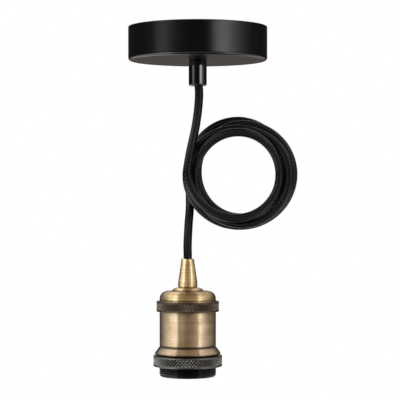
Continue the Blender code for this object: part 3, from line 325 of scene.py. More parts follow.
def satin_black_paint():
    """Powder-coated steel: satin sheen over a very fine orange peel."""
    material, tree = begin("satin_black_powder_coat")
    place = add(tree, "TexCoord").outputs["Object"]
    peel = add(tree, "TexNoise", {"Vector": place, "Scale": per_mm(1.4), "Detail": 1.0})
    cloud = add(tree, "TexNoise", {"Vector": place, "Scale": per_mm(18.0), "Detail": 3.0})
    colour = add(
        tree, "Mix", {0: cloud.outputs["Fac"], 6: linear("#020202"), 7: linear("#050404")}, data_type="RGBA"
    )
    rough = add(tree, "MapRange", {"Value": cloud.outputs["Fac"], 3: 0.20, 4: 0.26})
    bump = add(tree, "Bump", {"Height": peel.outputs["Fac"], "Strength": 0.015, "Distance": 0.05 * MM})
    close(
        tree,
        Base_Color=colour.outputs[2],
        Roughness=rough.outputs[0],
        Normal=bump.outputs[0],
        IOR=1.46,
    )
    return material


def glossy_black_plastic():
    """Injection-moulded nylon with a polished mould: sharp streaks of light and a slight ripple."""
    material, tree = begin("polished_black_nylon")
    place = add(tree, "TexCoord").outputs["Object"]
    ripple = add(tree, "TexNoise", {"Vector": place, "Scale": per_mm(3.0), "Detail": 2.0})
    colour = add(
        tree,
        "Mix",
        {0: ripple.outputs["Fac"], 6: linear("#060506"), 7: linear("#0a090a")},
        data_type="RGBA",
    )
    bump = add(tree, "Bump", {"Height": ripple.outputs["Fac"], "Strength": 0.06, "Distance": 0.05 * MM})
    close(tree, Base_Color=colour.outputs[2], Roughness=0.08, Normal=bump.outputs[0], IOR=1.53)
    return material


def black_moulding():
    """Phenolic moulding: hard, black and half glossy, with a faint grain of filler."""
    material, tree = begin("black_phenolic")
    place = add(tree, "TexCoord").outputs["Object"]
    grain = add(tree, "TexNoise", {"Vector": place, "Scale": per_mm(0.5), "Detail": 4.0})
    colour = add(
        tree, "Mix", {0: grain.outputs["Fac"], 6: linear("#030303"), 7: linear("#060606")}, data_type="RGBA"
    )
    rough = add(tree, "MapRange", {"Value": grain.outputs["Fac"], 3: 0.12, 4: 0.18})
    bump = add(tree, "Bump", {"Height": grain.outputs["Fac"], "Strength": 0.08, "Distance": 0.03 * MM})
    close(
        tree,
        Base_Color=colour.outputs[2],
        Roughness=rough.outputs[0],
        Normal=bump.outputs[0],
        IOR=1.5,
        Specular_IOR_Level=0.16,
    )
    return material


def black_textile():
    """Braided rayon over a rubber jacket: two sets of yarn cross in small diamonds, with a dull sheen.

    The real yarns are about 0.5 mm wide. They are drawn coarser, so that the photograph's frame shows them:
    10 round the cord, which is one in 1.9 mm, and one in each 2.2 mm of its length. The weave is the product
    of two sines, which repeats twice in each of their turns, hence the halves.
    """
    material, tree = begin("braided_black_rayon")
    place = add(tree, "UVMap", uv_map="yarn").outputs["UV"]
    split = add(tree, "SeparateXYZ", {0: place})
    yarns_round, yarns_along = 10, per_mm(2.2)
    across, along = TURN * (yarns_round / 2) / CORD_GIRTH, TURN * yarns_along / 2
    turns = add(tree, "Math", {0: split.outputs["X"], 1: across}, operation="MULTIPLY")
    rise = add(tree, "Math", {0: split.outputs["Y"], 1: along}, operation="MULTIPLY")
    left = add(tree, "Math", {0: turns.outputs[0], 1: rise.outputs[0]}, operation="ADD")
    right = add(tree, "Math", {0: turns.outputs[0], 1: rise.outputs[0]}, operation="SUBTRACT")
    left_wave = add(tree, "Math", {0: left.outputs[0]}, operation="SINE")
    right_wave = add(tree, "Math", {0: right.outputs[0]}, operation="SINE")
    weave = add(tree, "Math", {0: left_wave.outputs[0], 1: right_wave.outputs[0]}, operation="MULTIPLY")
    fuzz = add(tree, "TexNoise", {"Vector": place, "Scale": per_mm(0.35), "Detail": 3.0})
    height = add(
        tree, "Math", {0: weave.outputs[0], 1: 0.6, 2: fuzz.outputs["Fac"]}, operation="MULTIPLY_ADD"
    )
    # The colour follows the weave's height: painted shade in the dips between the yarns, lighter on their
    # raised parts, with a random fuzz
    lit = add(tree, "MapRange", {"Value": height.outputs[0], 1: 0.0, 2: 1.2})
    colour = add(
        tree, "Mix", {0: lit.outputs[0], 6: linear("#010101"), 7: linear("#110e0e")}, data_type="RGBA"
    )
    bump = add(tree, "Bump", {"Height": height.outputs[0], "Strength": 0.3, "Distance": 0.35 * MM})
    close(
        tree,
        Base_Color=colour.outputs[2],
        Roughness=0.3,
        Normal=bump.outputs[0],
        Specular_IOR_Level=0.2,
        Sheen_Weight=0.1,
        Sheen_Roughness=0.2,
    )
    return material


def antique_brass(name, dark, light):
    """Spun brass, chemically darkened and lacquered: level lathe lines that draw each light out upwards,
    a warm, uneven tone, and dark brown in each crease, partly patina and partly painted shade.

    The lathe lines are about 0.1 mm apart. They are drawn at 0.5 mm, so that some of them show. Wear and
    painted light is 1 in a crease and falls to 0 beside it; there it darkens the brass, partly as patina
    and partly as painted shade.
    """
    material, tree = begin(name)
    place = add(tree, "TexCoord").outputs["Object"]
    flat = add(tree, "Mapping", {"Vector": place, "Scale": (0.01, 0.01, 1.0)})
    lines = add(tree, "TexNoise", {"Vector": flat.outputs[0], "Scale": per_mm(0.5), "Detail": 4.0})
    cloud = add(tree, "TexNoise", {"Vector": place, "Scale": per_mm(9.0), "Detail": 4.0})
    tone = add(tree, "Math", {0: lines.outputs["Fac"], 1: cloud.outputs["Fac"]}, operation="ADD")
    share = add(tree, "MapRange", {"Value": tone.outputs[0], 1: 0.8, 2: 1.2})
    metal = add(tree, "Mix", {0: share.outputs[0], 6: linear(dark), 7: linear(light)}, data_type="RGBA")
    # Brown in each crease, partly patina and partly painted shade where the crease or a part beside it shades
    # the brass
    crease = add(tree, "Attribute", attribute_name="wear_and_painted_light").outputs["Fac"]
    colour = add(tree, "Mix", {0: crease, 6: metal.outputs[2], 7: linear("#33211b")}, data_type="RGBA")
    rough = add(tree, "MapRange", {"Value": lines.outputs["Fac"], 1: 0.3, 2: 0.7, 3: 0.34, 4: 0.42})
    bump = add(tree, "Bump", {"Height": lines.outputs["Fac"], "Strength": 0.22, "Distance": 0.04 * MM})
    around = add(tree, "Tangent", direction_type="RADIAL", axis="Z")
    close(
        tree,
        Base_Color=colour.outputs[2],
        Metallic=1.0,
        Roughness=rough.outputs[0],
        Normal=bump.outputs[0],
        Tangent=around.outputs[0],
        Anisotropic=1.0,
        Anisotropic_Rotation=0.25,
        Coat_Weight=0.3,
        Coat_Roughness=0.3,
    )
    return material


def dark_bronze(name, groove_with_painted_shade, tip_with_painted_highlight, roughness):
    """Knurled brass, chemically browned: nearly black in the grooves, partly as painted shade, and lighter
    on the points, partly worn and partly a painted highlight.

    Wear and painted light is the knurl's own height, from 0 at the bottom of the cut to 1 on a point.
    """
    material, tree = begin(name)
    place = add(tree, "TexCoord").outputs["Object"]
    cloud = add(tree, "TexNoise", {"Vector": place, "Scale": per_mm(2.5), "Detail": 5.0})
    worn_and_lit = add(tree, "Attribute", attribute_name="wear_and_painted_light").outputs["Fac"]
    uneven = add(tree, "Math", {0: cloud.outputs["Fac"], 1: 0.3, 2: -0.15}, operation="MULTIPLY_ADD")
    share = add(tree, "Math", {0: worn_and_lit, 1: uneven.outputs[0]}, operation="ADD", use_clamp=True)
    # Nearly black at the bottom of the knurl, partly painted shade; lighter on its points, partly a painted
    # highlight
    colour = add(tree, "Mix", {0: share.outputs[0], 6: linear(groove_with_painted_shade), 7: linear(tip_with_painted_highlight)}, data_type="RGBA")
    rough = add(tree, "MapRange", {"Value": share.outputs[0], 3: roughness + 0.2, 4: roughness})
    close(tree, Base_Color=colour.outputs[2], Metallic=1.0, Roughness=rough.outputs[0])
    return material


def plated_metal(name, low, high, roughness, speck):
    """A plated or drawn metal: a soft, slightly cloudy sheen over small uneven spots."""
    material, tree = begin(name)
    place = add(tree, "TexCoord").outputs["Object"]
    cloud = add(tree, "TexNoise", {"Vector": place, "Scale": per_mm(speck), "Detail": 4.0})
    colour = add(tree, "Mix", {0: cloud.outputs["Fac"], 6: linear(low), 7: linear(high)}, data_type="RGBA")
    rough = add(tree, "MapRange", {"Value": cloud.outputs["Fac"], 3: roughness - 0.06, 4: roughness + 0.08})
    bump = add(tree, "Bump", {"Height": cloud.outputs["Fac"], "Strength": 0.05, "Distance": 0.05 * MM})
    close(
        tree,
        Base_Color=colour.outputs[2],
        Metallic=1.0,
        Roughness=rough.outputs[0],
        Normal=bump.outputs[0],
    )
    return material


def moulded_plastic(name, low, high, roughness, grain):
    """A moulded or extruded plastic: nearly even in colour, with a fine texture from its tool."""
    material, tree = begin(name)
    place = add(tree, "TexCoord").outputs["Object"]
    fine = add(tree, "TexNoise", {"Vector": place, "Scale": per_mm(grain), "Detail": 3.0})
    colour = add(tree, "Mix", {0: fine.outputs["Fac"], 6: linear(low), 7: linear(high)}, data_type="RGBA")
    bump = add(tree, "Bump", {"Height": fine.outputs["Fac"], "Strength": 0.08, "Distance": 0.04 * MM})
    close(tree, Base_Color=colour.outputs[2], Roughness=roughness, Normal=bump.outputs[0])
    return material


# Cord

CORD_RADIUS = 3.05 * MM
CORD_ENTRY_RADIUS = 3.4 * MM
CORD_GIRTH = TURN * CORD_RADIUS
COIL_CENTRE = (30.0 * MM, -105.0 * MM)

# The run above the coil, from inside the rose's tube
UPPER_ROUTE = [
    (0.00, 0.0, -13.0),
    (0.00, 0.0, -24.0),
    (0.00, 0.0, -34.0),
    (0.25, 0.0, -39.0),
    (0.85, 0.0, -44.0),
    (0.95, 0.0, -50.0),
    (0.40, -0.4, -58.0),
    (-0.45, -1.2, -65.0),
    (-1.85, -3.0, -73.8),
    (-4.1, -5.6, -84.0),
    (-6.2, -7.6, -94.5),
]
# The coil: distance from its centre and depth at each quarter turn, from the left round by the bottom
COIL_QUARTERS = [
    (37.4, -8.5),
    (32.3, -8.7),
    (28.7, -3.7),
    (28.8, -10.2),
    (31.8, -3.4),
    (36.8, -2.9),
    (35.8, -4.3),
    (31.5, -1.0),
    (37.9, -0.2),
    (38.1, 4.2),
    (38.8, 1.0),
    (34.9, 4.6),
    (30.1, 6.7),
    (32.1, 2.3),
    (32.7, 6.0),
    (38.0, 11.0),
    (36.1, 8.5),
]
# The run below the coil, down into the lampholder
LOWER_ROUTE = [
    (-6.0, 8.2, -113.0),
    (-5.7, 7.8, -122.0),
    (-5.76, 5.05, -131.5),
    (-6.45, 4.1, -140.0),
    (-6.95, 2.4, -148.5),
    (-7.30, 0.8, -157.0),
    (-7.20, 0.1, -163.5),
    (-7.16, 0.0, -168.5),
    (-7.16, 0.0, -180.0),
    (-7.16, 0.0, -194.6),
]


def cord_path():
    """The cord's centreline. In the coil a point lies at the centre plus radius * (cos, sin) of its angle."""
    upper, lower = np.array(UPPER_ROUTE) * MM, np.array(LOWER_ROUTE) * MM
    radius, depth = through(np.array(COIL_QUARTERS) * MM, steps=6).T
    angle = TURN / 2 + np.linspace(0.0, TURN * (len(COIL_QUARTERS) - 1) / 4, len(radius))
    x = COIL_CENTRE[0] + radius * np.cos(angle)
    z = COIL_CENTRE[1] + radius * np.sin(angle)
    return smooth_route(np.vstack([upper, np.column_stack([x, depth, z]), lower]), spacing=1.2 * MM)


def pendant_cord(textile):
    """The cord as one tube along its whole length, with its yarns' real sizes in its UV map."""
    path = cord_path()
    along = way_along(path)
    grid = carried(path, CORD_RADIUS, around=24)
    mesh = skin("pendant_cord", grid, capped=True, lengths=(along, CORD_GIRTH))
    piece = put("pendant_cord", mesh, textile, "lamp", smooth=60.0)
    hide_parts("cord_upper", "cord_coil", "cord_lower")


# Ceiling rose


def canopy_cup(paint):
    """The drawn steel cup: a round lower edge, and a rim that is turned true where it meets the ceiling."""
    outside, bottom, top = turned_size("canopy")
    wall = 1.0 * MM
    profile = rounded(
        [
            (TUBE_HOLE, bottom, 0.1 * MM),
            (outside, bottom, 1.9 * MM),
            (outside, top, 0.4 * MM),
            (outside - wall, top, 0.15 * MM),
            (outside - wall, bottom + wall, 0.9 * MM),
            (TUBE_HOLE, bottom + wall, 0.1 * MM),
        ]
    )
    mesh = skin("canopy_cup", turned(filled(profile, spacing=1.5 * MM), around=192))
    piece = put("canopy_cup", mesh, paint, "lamp")
    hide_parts("canopy")


def grip_sleeve(plastic):
    """The cord grip: a polished sleeve with a small radius at its foot and a flared mouth."""
    outside, bottom, top = turned_size("canopy_cord_grip")
    thread_end = top - 8.5 * MM
    profile = rounded(
        [
            (TUBE_HOLE, top, 0.1 * MM),
            (outside, top, 0.4 * MM),
            (outside, bottom, 1.0 * MM),
            (4.7 * MM, bottom, 0.3 * MM),
            (CORD_ENTRY_RADIUS, bottom + 4.4 * MM, 0.6 * MM),
            (CORD_ENTRY_RADIUS, thread_end, 0.1 * MM),
            (TUBE_HOLE, thread_end, 0.1 * MM),
        ]
    )
    mesh = skin("grip_sleeve", turned(filled(profile, spacing=0.8 * MM), around=96))
    mesh = drilled(mesh, "grip_set_screw", middle=outside, depth=4.0 * MM)
    piece = put("grip_sleeve", mesh, plastic, "lamp")
    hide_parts("canopy_cord_grip")


# Lampholder

# The lampholder's own axis, which the cord brings a little to the left of the rose's
holder_low, holder_high = span("holder_nipple")
HOLDER = ((holder_low[0] + holder_high[0]) / 2, 0.0)


def crease_patina_and_shade(grid, heights, width):
    """Brown left by the polishing, and painted shade, at each height: 1 in the crease, falling off as a bell
    this wide.
    """
    z = grid[:, :1, 2]
    return sum(np.exp(-(((z - height) / width) ** 2)) for height in heights).clip(0.0, 1.0)


def cone_sleeve(brass):
    """The turned brass cone that closes on the cord above the lampholder."""
    _, foot, top = turned_size("cone_cord_grip", HOLDER)
    outside, thread_end = 6.95 * MM, foot + 9.0 * MM
    profile = rounded(
        [
            (TUBE_HOLE, foot, 0.1 * MM),
            (outside, foot, 0.3 * MM),
            (outside, foot + 3.4 * MM, 0.6 * MM),
            (4.45 * MM, top, 0.3 * MM),
            (CORD_ENTRY_RADIUS, top, 0.15 * MM),
            (CORD_ENTRY_RADIUS, thread_end, 0.1 * MM),
            (TUBE_HOLE, thread_end, 0.1 * MM),
        ]
    )
    grid = turned(filled(profile, spacing=0.4 * MM), 96, HOLDER)
    # Darker round the cone's foot, where it meets the cap: partly patina, partly painted shade
    mesh = skin("cone_sleeve", grid, wear_and_painted_light=crease_patina_and_shade(grid, [foot], width=0.35 * MM))
    mesh = drilled(mesh, "cone_set_screw", middle=6.0 * MM, depth=4.5 * MM)
    piece = put("cone_sleeve", mesh, brass, "lamp")
    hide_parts("cone_cord_grip")


def spun_cap(brass):
    """The spun cap: a raised boss, a low crown, a round shoulder and a plain skirt inside the upper ring."""
    outside, bottom, top = turned_size("dome_cap", HOLDER)
    boss, crown = 10.9 * MM, top - 2.1 * MM
    wall, lip = 1.0 * MM, span("cap_ring")[1][2]
    edge = crown - 0.5 * MM
    profile = rounded(
        [
            (TUBE_HOLE, top, 0.1 * MM),
            (8.8 * MM, top, 3.0 * MM),
            (boss - 0.1 * MM, top - 1.1 * MM, 1.0 * MM),
            (boss, crown, 0.15 * MM),
            (outside, edge, 5.4 * MM),
            (outside, lip + 1.25 * MM, 0.2 * MM),
            (outside - 0.35 * MM, lip + 1.05 * MM, 0.1 * MM),
            (outside + 0.15 * MM, lip + 0.8 * MM, 0.2 * MM),
            (outside + 0.15 * MM, lip - 0.3 * MM, 0.1 * MM),
            (outside, lip - 0.5 * MM, 0.1 * MM),
            (outside, bottom, 0.15 * MM),
            (outside - wall, bottom, 0.15 * MM),
            (outside - wall, edge - wall, 4.4 * MM),
            (boss - wall, crown - wall, 0.2 * MM),
            (boss - wall, top - wall, 0.8 * MM),
            (TUBE_HOLE, top - wall, 0.1 * MM),
        ]
    )
    grid = turned(filled(profile, spacing=0.3 * MM), 192, HOLDER)
    # Darker where the boss meets the crown and in the small recess above the ring: partly patina, partly
    # painted shade
    mesh = skin("spun_cap", grid, wear_and_painted_light=crease_patina_and_shade(grid, [crown, lip + 1.05 * MM], width=0.25 * MM))
    piece = put("spun_cap", mesh, brass, "lamp")
    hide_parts("dome_cap")


def flared_body(brass):
    """The brass tube, flared at its foot to a short upright lip."""
    outside, bottom, top = turned_size("holder_body", HOLDER)
    tube, wall = outside - 3.3 * MM, 1.0 * MM
    lip = bottom + 1.4 * MM
    flare = lip + 4.5 * MM
    profile = rounded(
        [
            (tube - wall, top, 0.15 * MM),
            (tube, top, 0.15 * MM),
            (tube, flare + 0.5 * MM, 0.2 * MM),
            (tube - 0.35 * MM, flare, 0.2 * MM),
            (tube + 0.25 * MM, flare - 0.35 * MM, 0.2 * MM),
            (outside, lip, 0.6 * MM),
            (outside, bottom + 0.4 * MM, 0.5 * MM),
            (outside - wall, bottom + 0.4 * MM, 0.15 * MM),
            (outside - wall, lip - 0.3 * MM, 0.5 * MM),
            (tube - wall, flare - 0.3 * MM, 0.5 * MM),
        ]
    )
    grid = turned(filled(profile, spacing=0.3 * MM), 192, HOLDER)
    # Darker under the upper ring, where the flare starts and at the lip over the shade ring: partly patina,
    # partly painted shade
    browned = crease_patina_and_shade(grid, [top, flare + 0.2 * MM, bottom + 0.4 * MM], width=1.0 * MM)
    mesh = skin("flared_body", grid, wear_and_painted_light=browned)
    piece = put("flared_body", mesh, brass, "lamp")
    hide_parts("holder_body")


def knurled(name, profile, low, high, columns, pitch, depth):
    """A turned ring of the lampholder whose outer band is cut in diamonds.

    The relief between the heights low and high is the lesser of |u| and |v|, triangle waves along the two
    diagonals: four-sided points that meet in straight grooves. It is cut inwards by the depth, with the
    points left slightly flat, and fades out over half a row at each end of the band. Wear and painted light
    is the relief on the band, and a middling value on the plain parts: the points come out lighter, partly
    as a painted highlight, and the bottom of the cut darker, partly as painted shade.

    The real knurl is about 1.2 mm on the upper ring and 1.5 mm on the lower one. Both are cut coarser, so
    that the photograph's frame shows them.
    """
    steps, flat, plain_wear = 8, 0.8, 0.35
    # The band's rows go in where the profile runs upright at its greatest radius
    edge = profile[:, 0].max()
    long_side = np.where(np.abs(profile[:, 0] - edge) < SAME, np.diff(profile[:, 1], append=0.0), 0.0)
    place = np.argmax(np.abs(long_side[:-1])) + 1
    rows = np.arange(low, high, pitch / steps)
    rows = rows[::-1] if profile[place - 1, 1] > profile[place, 1] else rows
    band = np.column_stack([np.full(len(rows), edge), rows])
    whole = np.vstack([profile[:place], band, profile[place:]])
    points = turned(whole, columns * steps, HOLDER)
    angle = np.arange(columns * steps) / steps
    level = (whole[:, 1:] - low) / pitch
    u = np.abs((level + angle) % 1.0 * 2 - 1)
    v = np.abs((level - angle) % 1.0 * 2 - 1)
    height = (np.minimum(np.minimum(u, v), flat) / flat) ** 1.5
    inside = np.zeros((len(whole), 1))
    inside[place : place + len(band)] = 1.0
    fade = np.clip(np.minimum(whole[:, 1:] - low, high - whole[:, 1:]) / (pitch / 2), 0.0, 1.0)
    sunk = inside * fade * depth * (1.0 - height)
    radial = points[..., :2] - np.array(HOLDER)
    radial /= np.linalg.norm(radial, axis=-1, keepdims=True)
    points[..., :2] -= radial * sunk[..., None]
    # Points lighter and the cut between them darker: partly worn, partly painted highlight and painted shade
    worn_and_lit = np.where(inside > 0.0, fade * height + (1.0 - fade) * plain_wear, plain_wear)
    return skin(name, points, relief=-sunk, wear_and_painted_light=worn_and_lit)


def joining_ring(bronze):
    """The upper ring, browned nearly black, with a fine diamond knurl and plain chamfered ends."""
    outside, bottom, top = turned_size("cap_ring", HOLDER)
    bore, plain = outside - 1.95 * MM, 0.6 * MM
    profile = rounded(
        [
            (bore, top, 0.15 * MM),
            (outside, top, 0.4 * MM),
            (outside, bottom, 0.4 * MM),
            (bore, bottom, 0.15 * MM),
        ]
    )
    low, high = bottom + plain, top - plain
    mesh = knurled("joining_ring", profile, low, high, columns=60, pitch=2.3 * MM, depth=0.5 * MM)
    piece = put("joining_ring", mesh, bronze, "lamp", smooth=20.0)
    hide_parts("cap_ring")


def knurled_shade_ring(bronze):
    """The lower ring, which screws down to take a shade: a raised land on top and a coarser knurl."""
    outside, bottom, top = turned_size("shade_ring", HOLDER)
    bore, plain = outside - 3.95 * MM, 0.8 * MM
    land_width, land_height = 1.0 * MM, 0.2 * MM
    profile = rounded(
        [
            (bore, top, 0.2 * MM),
            (bore + land_width, top, 0.1 * MM),
            (bore + land_width + land_height, top - land_height, 0.1 * MM),
            (outside, top - land_height, 0.5 * MM),
            (outside, bottom, 0.7 * MM),
            (bore, bottom, 0.3 * MM),
        ]
    )
    low, high = bottom + plain, top - plain
    mesh = knurled("knurled_shade_ring", profile, low, high, columns=60, pitch=2.5 * MM, depth=0.6 * MM)
    piece = put("knurled_shade_ring", mesh, bronze, "shade_ring", smooth=20.0)
    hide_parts("shade_ring")


def threaded_liner(moulding):
    """The moulded liner: a round screw thread on its skirt, a spigot above it and a stepped bore."""
    crest, bottom, top = turned_size("insulator_body", HOLDER)
    depth, pitch, row = 0.6 * MM, 1.5 * MM, 0.13 * MM
    root, skirt_top = crest - depth, bottom + 17.7 * MM
    spigot, bore, mouth = crest - 1.55 * MM, 15.2 * MM, 14.2 * MM
    mouth_chamfer, margin = 1.0 * MM, 0.1 * MM
    plain_foot, plain_top = 1.0 * MM, 0.5 * MM
    ledge = span("socket_base")[0][2] - GAP
    plain = rounded(
        [
            (bore, top, 0.2 * MM),
            (spigot, top, 0.3 * MM),
            (spigot, skirt_top, 0.1 * MM),
            (root, skirt_top, 0.2 * MM),
            (root, bottom, 0.9 * MM),
            (mouth + mouth_chamfer, bottom, 0.2 * MM),
            (mouth, bottom + mouth_chamfer, 0.3 * MM),
            (mouth, ledge, 0.1 * MM),
            (bore, ledge, 0.1 * MM),
        ]
    )
    loop = filled(plain, spacing=0.7 * MM)
    skirt = np.flatnonzero(np.abs(loop[:, 0] - root) < SAME)
    rows = np.arange(loop[skirt[-1], 1] + margin, loop[skirt[0], 1] - margin, row)[::-1]
    threaded = np.column_stack([np.full(len(rows), root), rows])
    profile = np.vstack([loop[: skirt[0] + 1], threaded, loop[skirt[-1] :]])
    height = profile[:, 1:]
    on_skirt = np.abs(profile[:, :1] - root) < SAME
    inside = np.minimum(height - bottom - plain_foot, skirt_top - plain_top - height)
    grid = turned(profile, 144, HOLDER)
    wind(grid, on_skirt * np.clip(2.0 * inside / pitch, 0.0, 1.0), bottom, pitch, depth)
    piece = put("threaded_liner", skin("threaded_liner", grid), moulding, "lamp")
    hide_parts("insulator_body")


def lamp_thread_shell(metal):
    """The rolled lamp thread: one sheet in a screw wave, with a flange under the socket base."""
    _, bottom, top = turned_size("screw_shell", HOLDER)
    sheet, depth, pitch, rows = 0.4 * MM, 1.0 * MM, 3.63 * MM, 80
    crest, eye = 13.25 * MM, 7.3 * MM
    root = crest - depth
    wave = np.linspace(top - 1.2 * MM, bottom, rows)
    inner = np.column_stack([np.full(rows, root), wave])
    outer = inner + [sheet, 0.0]
    flange = rounded(
        [
            (eye, top, 0.1 * MM),
            (root + sheet, top, 0.6 * MM),
            (root + sheet, wave[0], 0.0),
            (root, wave[0], 0.0),
            (root, top - sheet, 0.3 * MM),
            (eye, top - sheet, 0.1 * MM),
        ]
    )
    cut = np.flatnonzero(np.abs(flange[:, 1] - wave[0]) < SAME)
    whole = np.vstack([flange[: cut[0]], outer, inner[::-1], flange[cut[-1] + 1 :]])
    height = whole[:, 1:]
    fade = np.clip(2.0 * (wave[0] - height) / pitch, 0.0, 1.0)
    grid = turned(whole, 120, HOLDER)
    wind(grid, fade * np.clip((height - bottom) / pitch + 0.4, 0.0, 1.0), bottom, pitch, depth)
    piece = put("lamp_thread_shell", skin("lamp_thread_shell", grid), metal, "lamp")
    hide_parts("screw_shell")


# Inner pieces


def threaded_tube(name, node, metal):
    """A hollow M10 tube with its fine outer thread, 1 mm in pitch, and chamfered ends."""
    low, high = span(node)
    middle = (low + high) / 2
    depth, pitch, plain_end = 0.3 * MM, 1.0 * MM, 0.3 * MM
    bore, root = 3.7 * MM, (high[0] - low[0]) / 2 - depth
    profile = rounded(
        [
            (bore, high[2], 0.15 * MM),
            (root, high[2], 0.2 * MM),
            (root, low[2], 0.2 * MM),
            (bore, low[2], 0.15 * MM),
        ]
    )
    profile = filled(profile, spacing=pitch / 8)
    height = profile[:, 1:]
    outer = np.abs(profile[:, :1] - root) < SAME
    inside = np.minimum(height - low[2], high[2] - height) - plain_end
    grid = turned(profile, 48, (middle[0], middle[1]))
    wind(grid, outer * np.clip(2.0 * inside / pitch, 0.0, 1.0), low[2], pitch, depth)
    piece = put(name, skin(name, grid), metal, "lamp")
    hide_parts(node)


def finished(node, material, edge):
    """A copy of a CAD node with its triangles merged, its edges rounded by so much and its curves smooth."""
    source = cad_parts[node]
    mesh = source.data.copy()
    mesh.transform(source.matrix_world)
    mesh.materials.clear()
    work = bmesh.new()
    work.from_mesh(mesh)
    bmesh.ops.remove_doubles(work, verts=work.verts, dist=0.002 * MM)
    work.to_mesh(mesh)
    work.free()
    mesh.name = node + "_finished"
    piece = put(mesh.name, mesh, material, "lamp")
    if edge:
        bevel = piece.modifiers.new("rounded edges", "BEVEL")
        bevel.width = edge
        bevel.segments = 2
        bevel.limit_method = "ANGLE"
        bevel.angle_limit = np.radians(40.0)
        bevel.harden_normals = True
    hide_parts(node)


# The object

paint = satin_black_paint()
plastic = glossy_black_plastic()
moulding = black_moulding()
textile = black_textile()
# The cap and the cone take lighter copies of the body's brass: painted light, for the light that their
# upturned faces catch
brass = antique_brass("antique_brass_body", "#a38b67", "#c7b08c")
cap_brass_painted_lighter = antique_brass("antique_brass_cap_painted_lighter", "#ac915f", "#dac090")
light = antique_brass("antique_brass_cone_painted_lighter", "#c3a671", "#f0d7a5")
ring_dark = dark_bronze("browned_brass_dark", "#080706", "#84745f", 0.25)
ring_grey = dark_bronze("browned_brass_grey", "#070706", "#8f8e83", 0.25)
steel = plated_metal("zinc_plated_steel", "#a9abae", "#c6c8ca", 0.32, 4.0)
bright = plated_metal("drawn_brass", "#c7a763", "#dcc07c", 0.24, 3.0)
white = moulded_plastic("white_polyamide", "#dcdad2", "#e9e7e0", 0.42, 1.2)
cream = moulded_plastic("cream_steatite", "#cfc8b8", "#ddd7c8", 0.30, 0.8)
brown = moulded_plastic("brown_pvc", "#5f3218", "#74411f", 0.42, 0.7)
blue = moulded_plastic("blue_pvc", "#25589f", "#2f68b4", 0.42, 0.7)
green = moulded_plastic("green_yellow_pvc", "#6f9a2a", "#a8b42e", 0.42, 1.6)

pendant_cord(textile)
canopy_cup(paint)
grip_sleeve(plastic)
cone_sleeve(light)
spun_cap(cap_brass_painted_lighter)
joining_ring(ring_dark)
flared_body(brass)
knurled_shade_ring(ring_grey)
threaded_liner(moulding)
lamp_thread_shell(bright)
threaded_tube("threaded_tube_rose", "canopy_nipple", steel)
threaded_tube("threaded_tube_holder", "holder_nipple", steel)

# Inner pieces that keep the CAD's shape: their finish, slot, rounding of edges and nodes
INNER = (
    (
        steel,
        "zinc_steel",
        0.25 * MM,
        ("ceiling_bracket", "bracket_nut_upper", "bracket_nut_lower", "holder_nut"),
    ),
    (
        steel,
        "zinc_steel",
        0.12 * MM,
        (
            "terminal_screw_lamp_live",
            "terminal_screw_lamp_neutral",
            "terminal_screw_lamp_earth",
            "terminal_screw_supply_live",
            "terminal_screw_supply_neutral",
            "terminal_screw_supply_earth",
            "live_terminal_screw",
            "neutral_terminal_screw",
            "cone_set_screw",
        ),
    ),
    (
        bright,
        "bright_brass",
        0.12 * MM,
        (
            "bracket_earth_tag",
            "holder_earth_tag",
            "terminal_insert_live",
            "terminal_insert_neutral",
            "terminal_insert_earth",
            "centre_contact",
            "live_terminal",
            "neutral_terminal",
        ),
    ),
    (plastic, "black_plastic", 0.12 * MM, ("grip_set_screw",)),
    (white, "white_plastic", 0.3 * MM, ("terminal_block",)),
    (cream, "cream_moulding", 0.2 * MM, ("socket_base",)),
    (brown, "brown_insulation", 0.0, ("canopy_core_live", "holder_core_live")),
    (blue, "blue_insulation", 0.0, ("canopy_core_neutral", "holder_core_neutral")),
    (green, "earth_insulation", 0.0, ("canopy_core_earth", "holder_core_earth", "earth_link_wire")),
)
for material, slot, edge, nodes in INNER:
    for node in nodes:
        finished(node, material, edge)

# Studio

# Levels of the studio's lights. The place across is where an upright round bar in front of the camera
# shows the light, from -1 at its left edge to 1 at its right. The place upwards is the sine of the angle
# above the horizon.
LOW_LEVEL = 1.9
LOW_ACROSS = [
    (-0.78, 0.0),
    (-0.62, 0.04),
    (-0.50, 0.15),
    (-0.34, 0.15),
    (-0.20, 0.02),
    (0.00, 0.0),
    (0.16, 0.03),
    (0.32, 1.0),
    (0.50, 1.0),
    (0.62, 0.3),
    (0.76, 0.03),
    (0.90, 0.0),
]
LOW_UPWARDS = [(-0.02, 0.0), (0.03, 1.0), (0.18, 1.0), (0.22, 0.0)]
STRIP_LEVEL = 6.5
STRIP_ACROSS = [
    (-0.62, 0.0),
    (-0.56, 0.34),
    (-0.44, 0.34),
    (-0.37, 0.0),
    (0.19, 0.0),
    (0.27, 1.0),
    (0.40, 1.0),
    (0.49, 0.0),
]
STRIP_UPWARDS = [(0.06, 0.0), (0.07, 1.0), (0.105, 1.0), (0.115, 0.0)]
TALL_LEVEL = 5.0
TALL_ACROSS = [
    (-1.0, 0.10),
    (-0.92, 0.11),
    (-0.84, 0.13),
    (-0.71, 0.42),
    (-0.57, 0.76),
    (-0.42, 1.0),
    (-0.37, 1.0),
    (-0.34, 0.10),
    (-0.20, 0.14),
    (-0.06, 0.0),
    (0.05, 0.0),
    (0.16, 0.07),
    (0.30, 0.02),
    (0.37, 0.03),
    (0.40, 0.84),
    (0.43, 0.84),
    (0.55, 0.38),
    (0.70, 0.16),
    (0.84, 0.06),
    (0.95, 0.0),
]
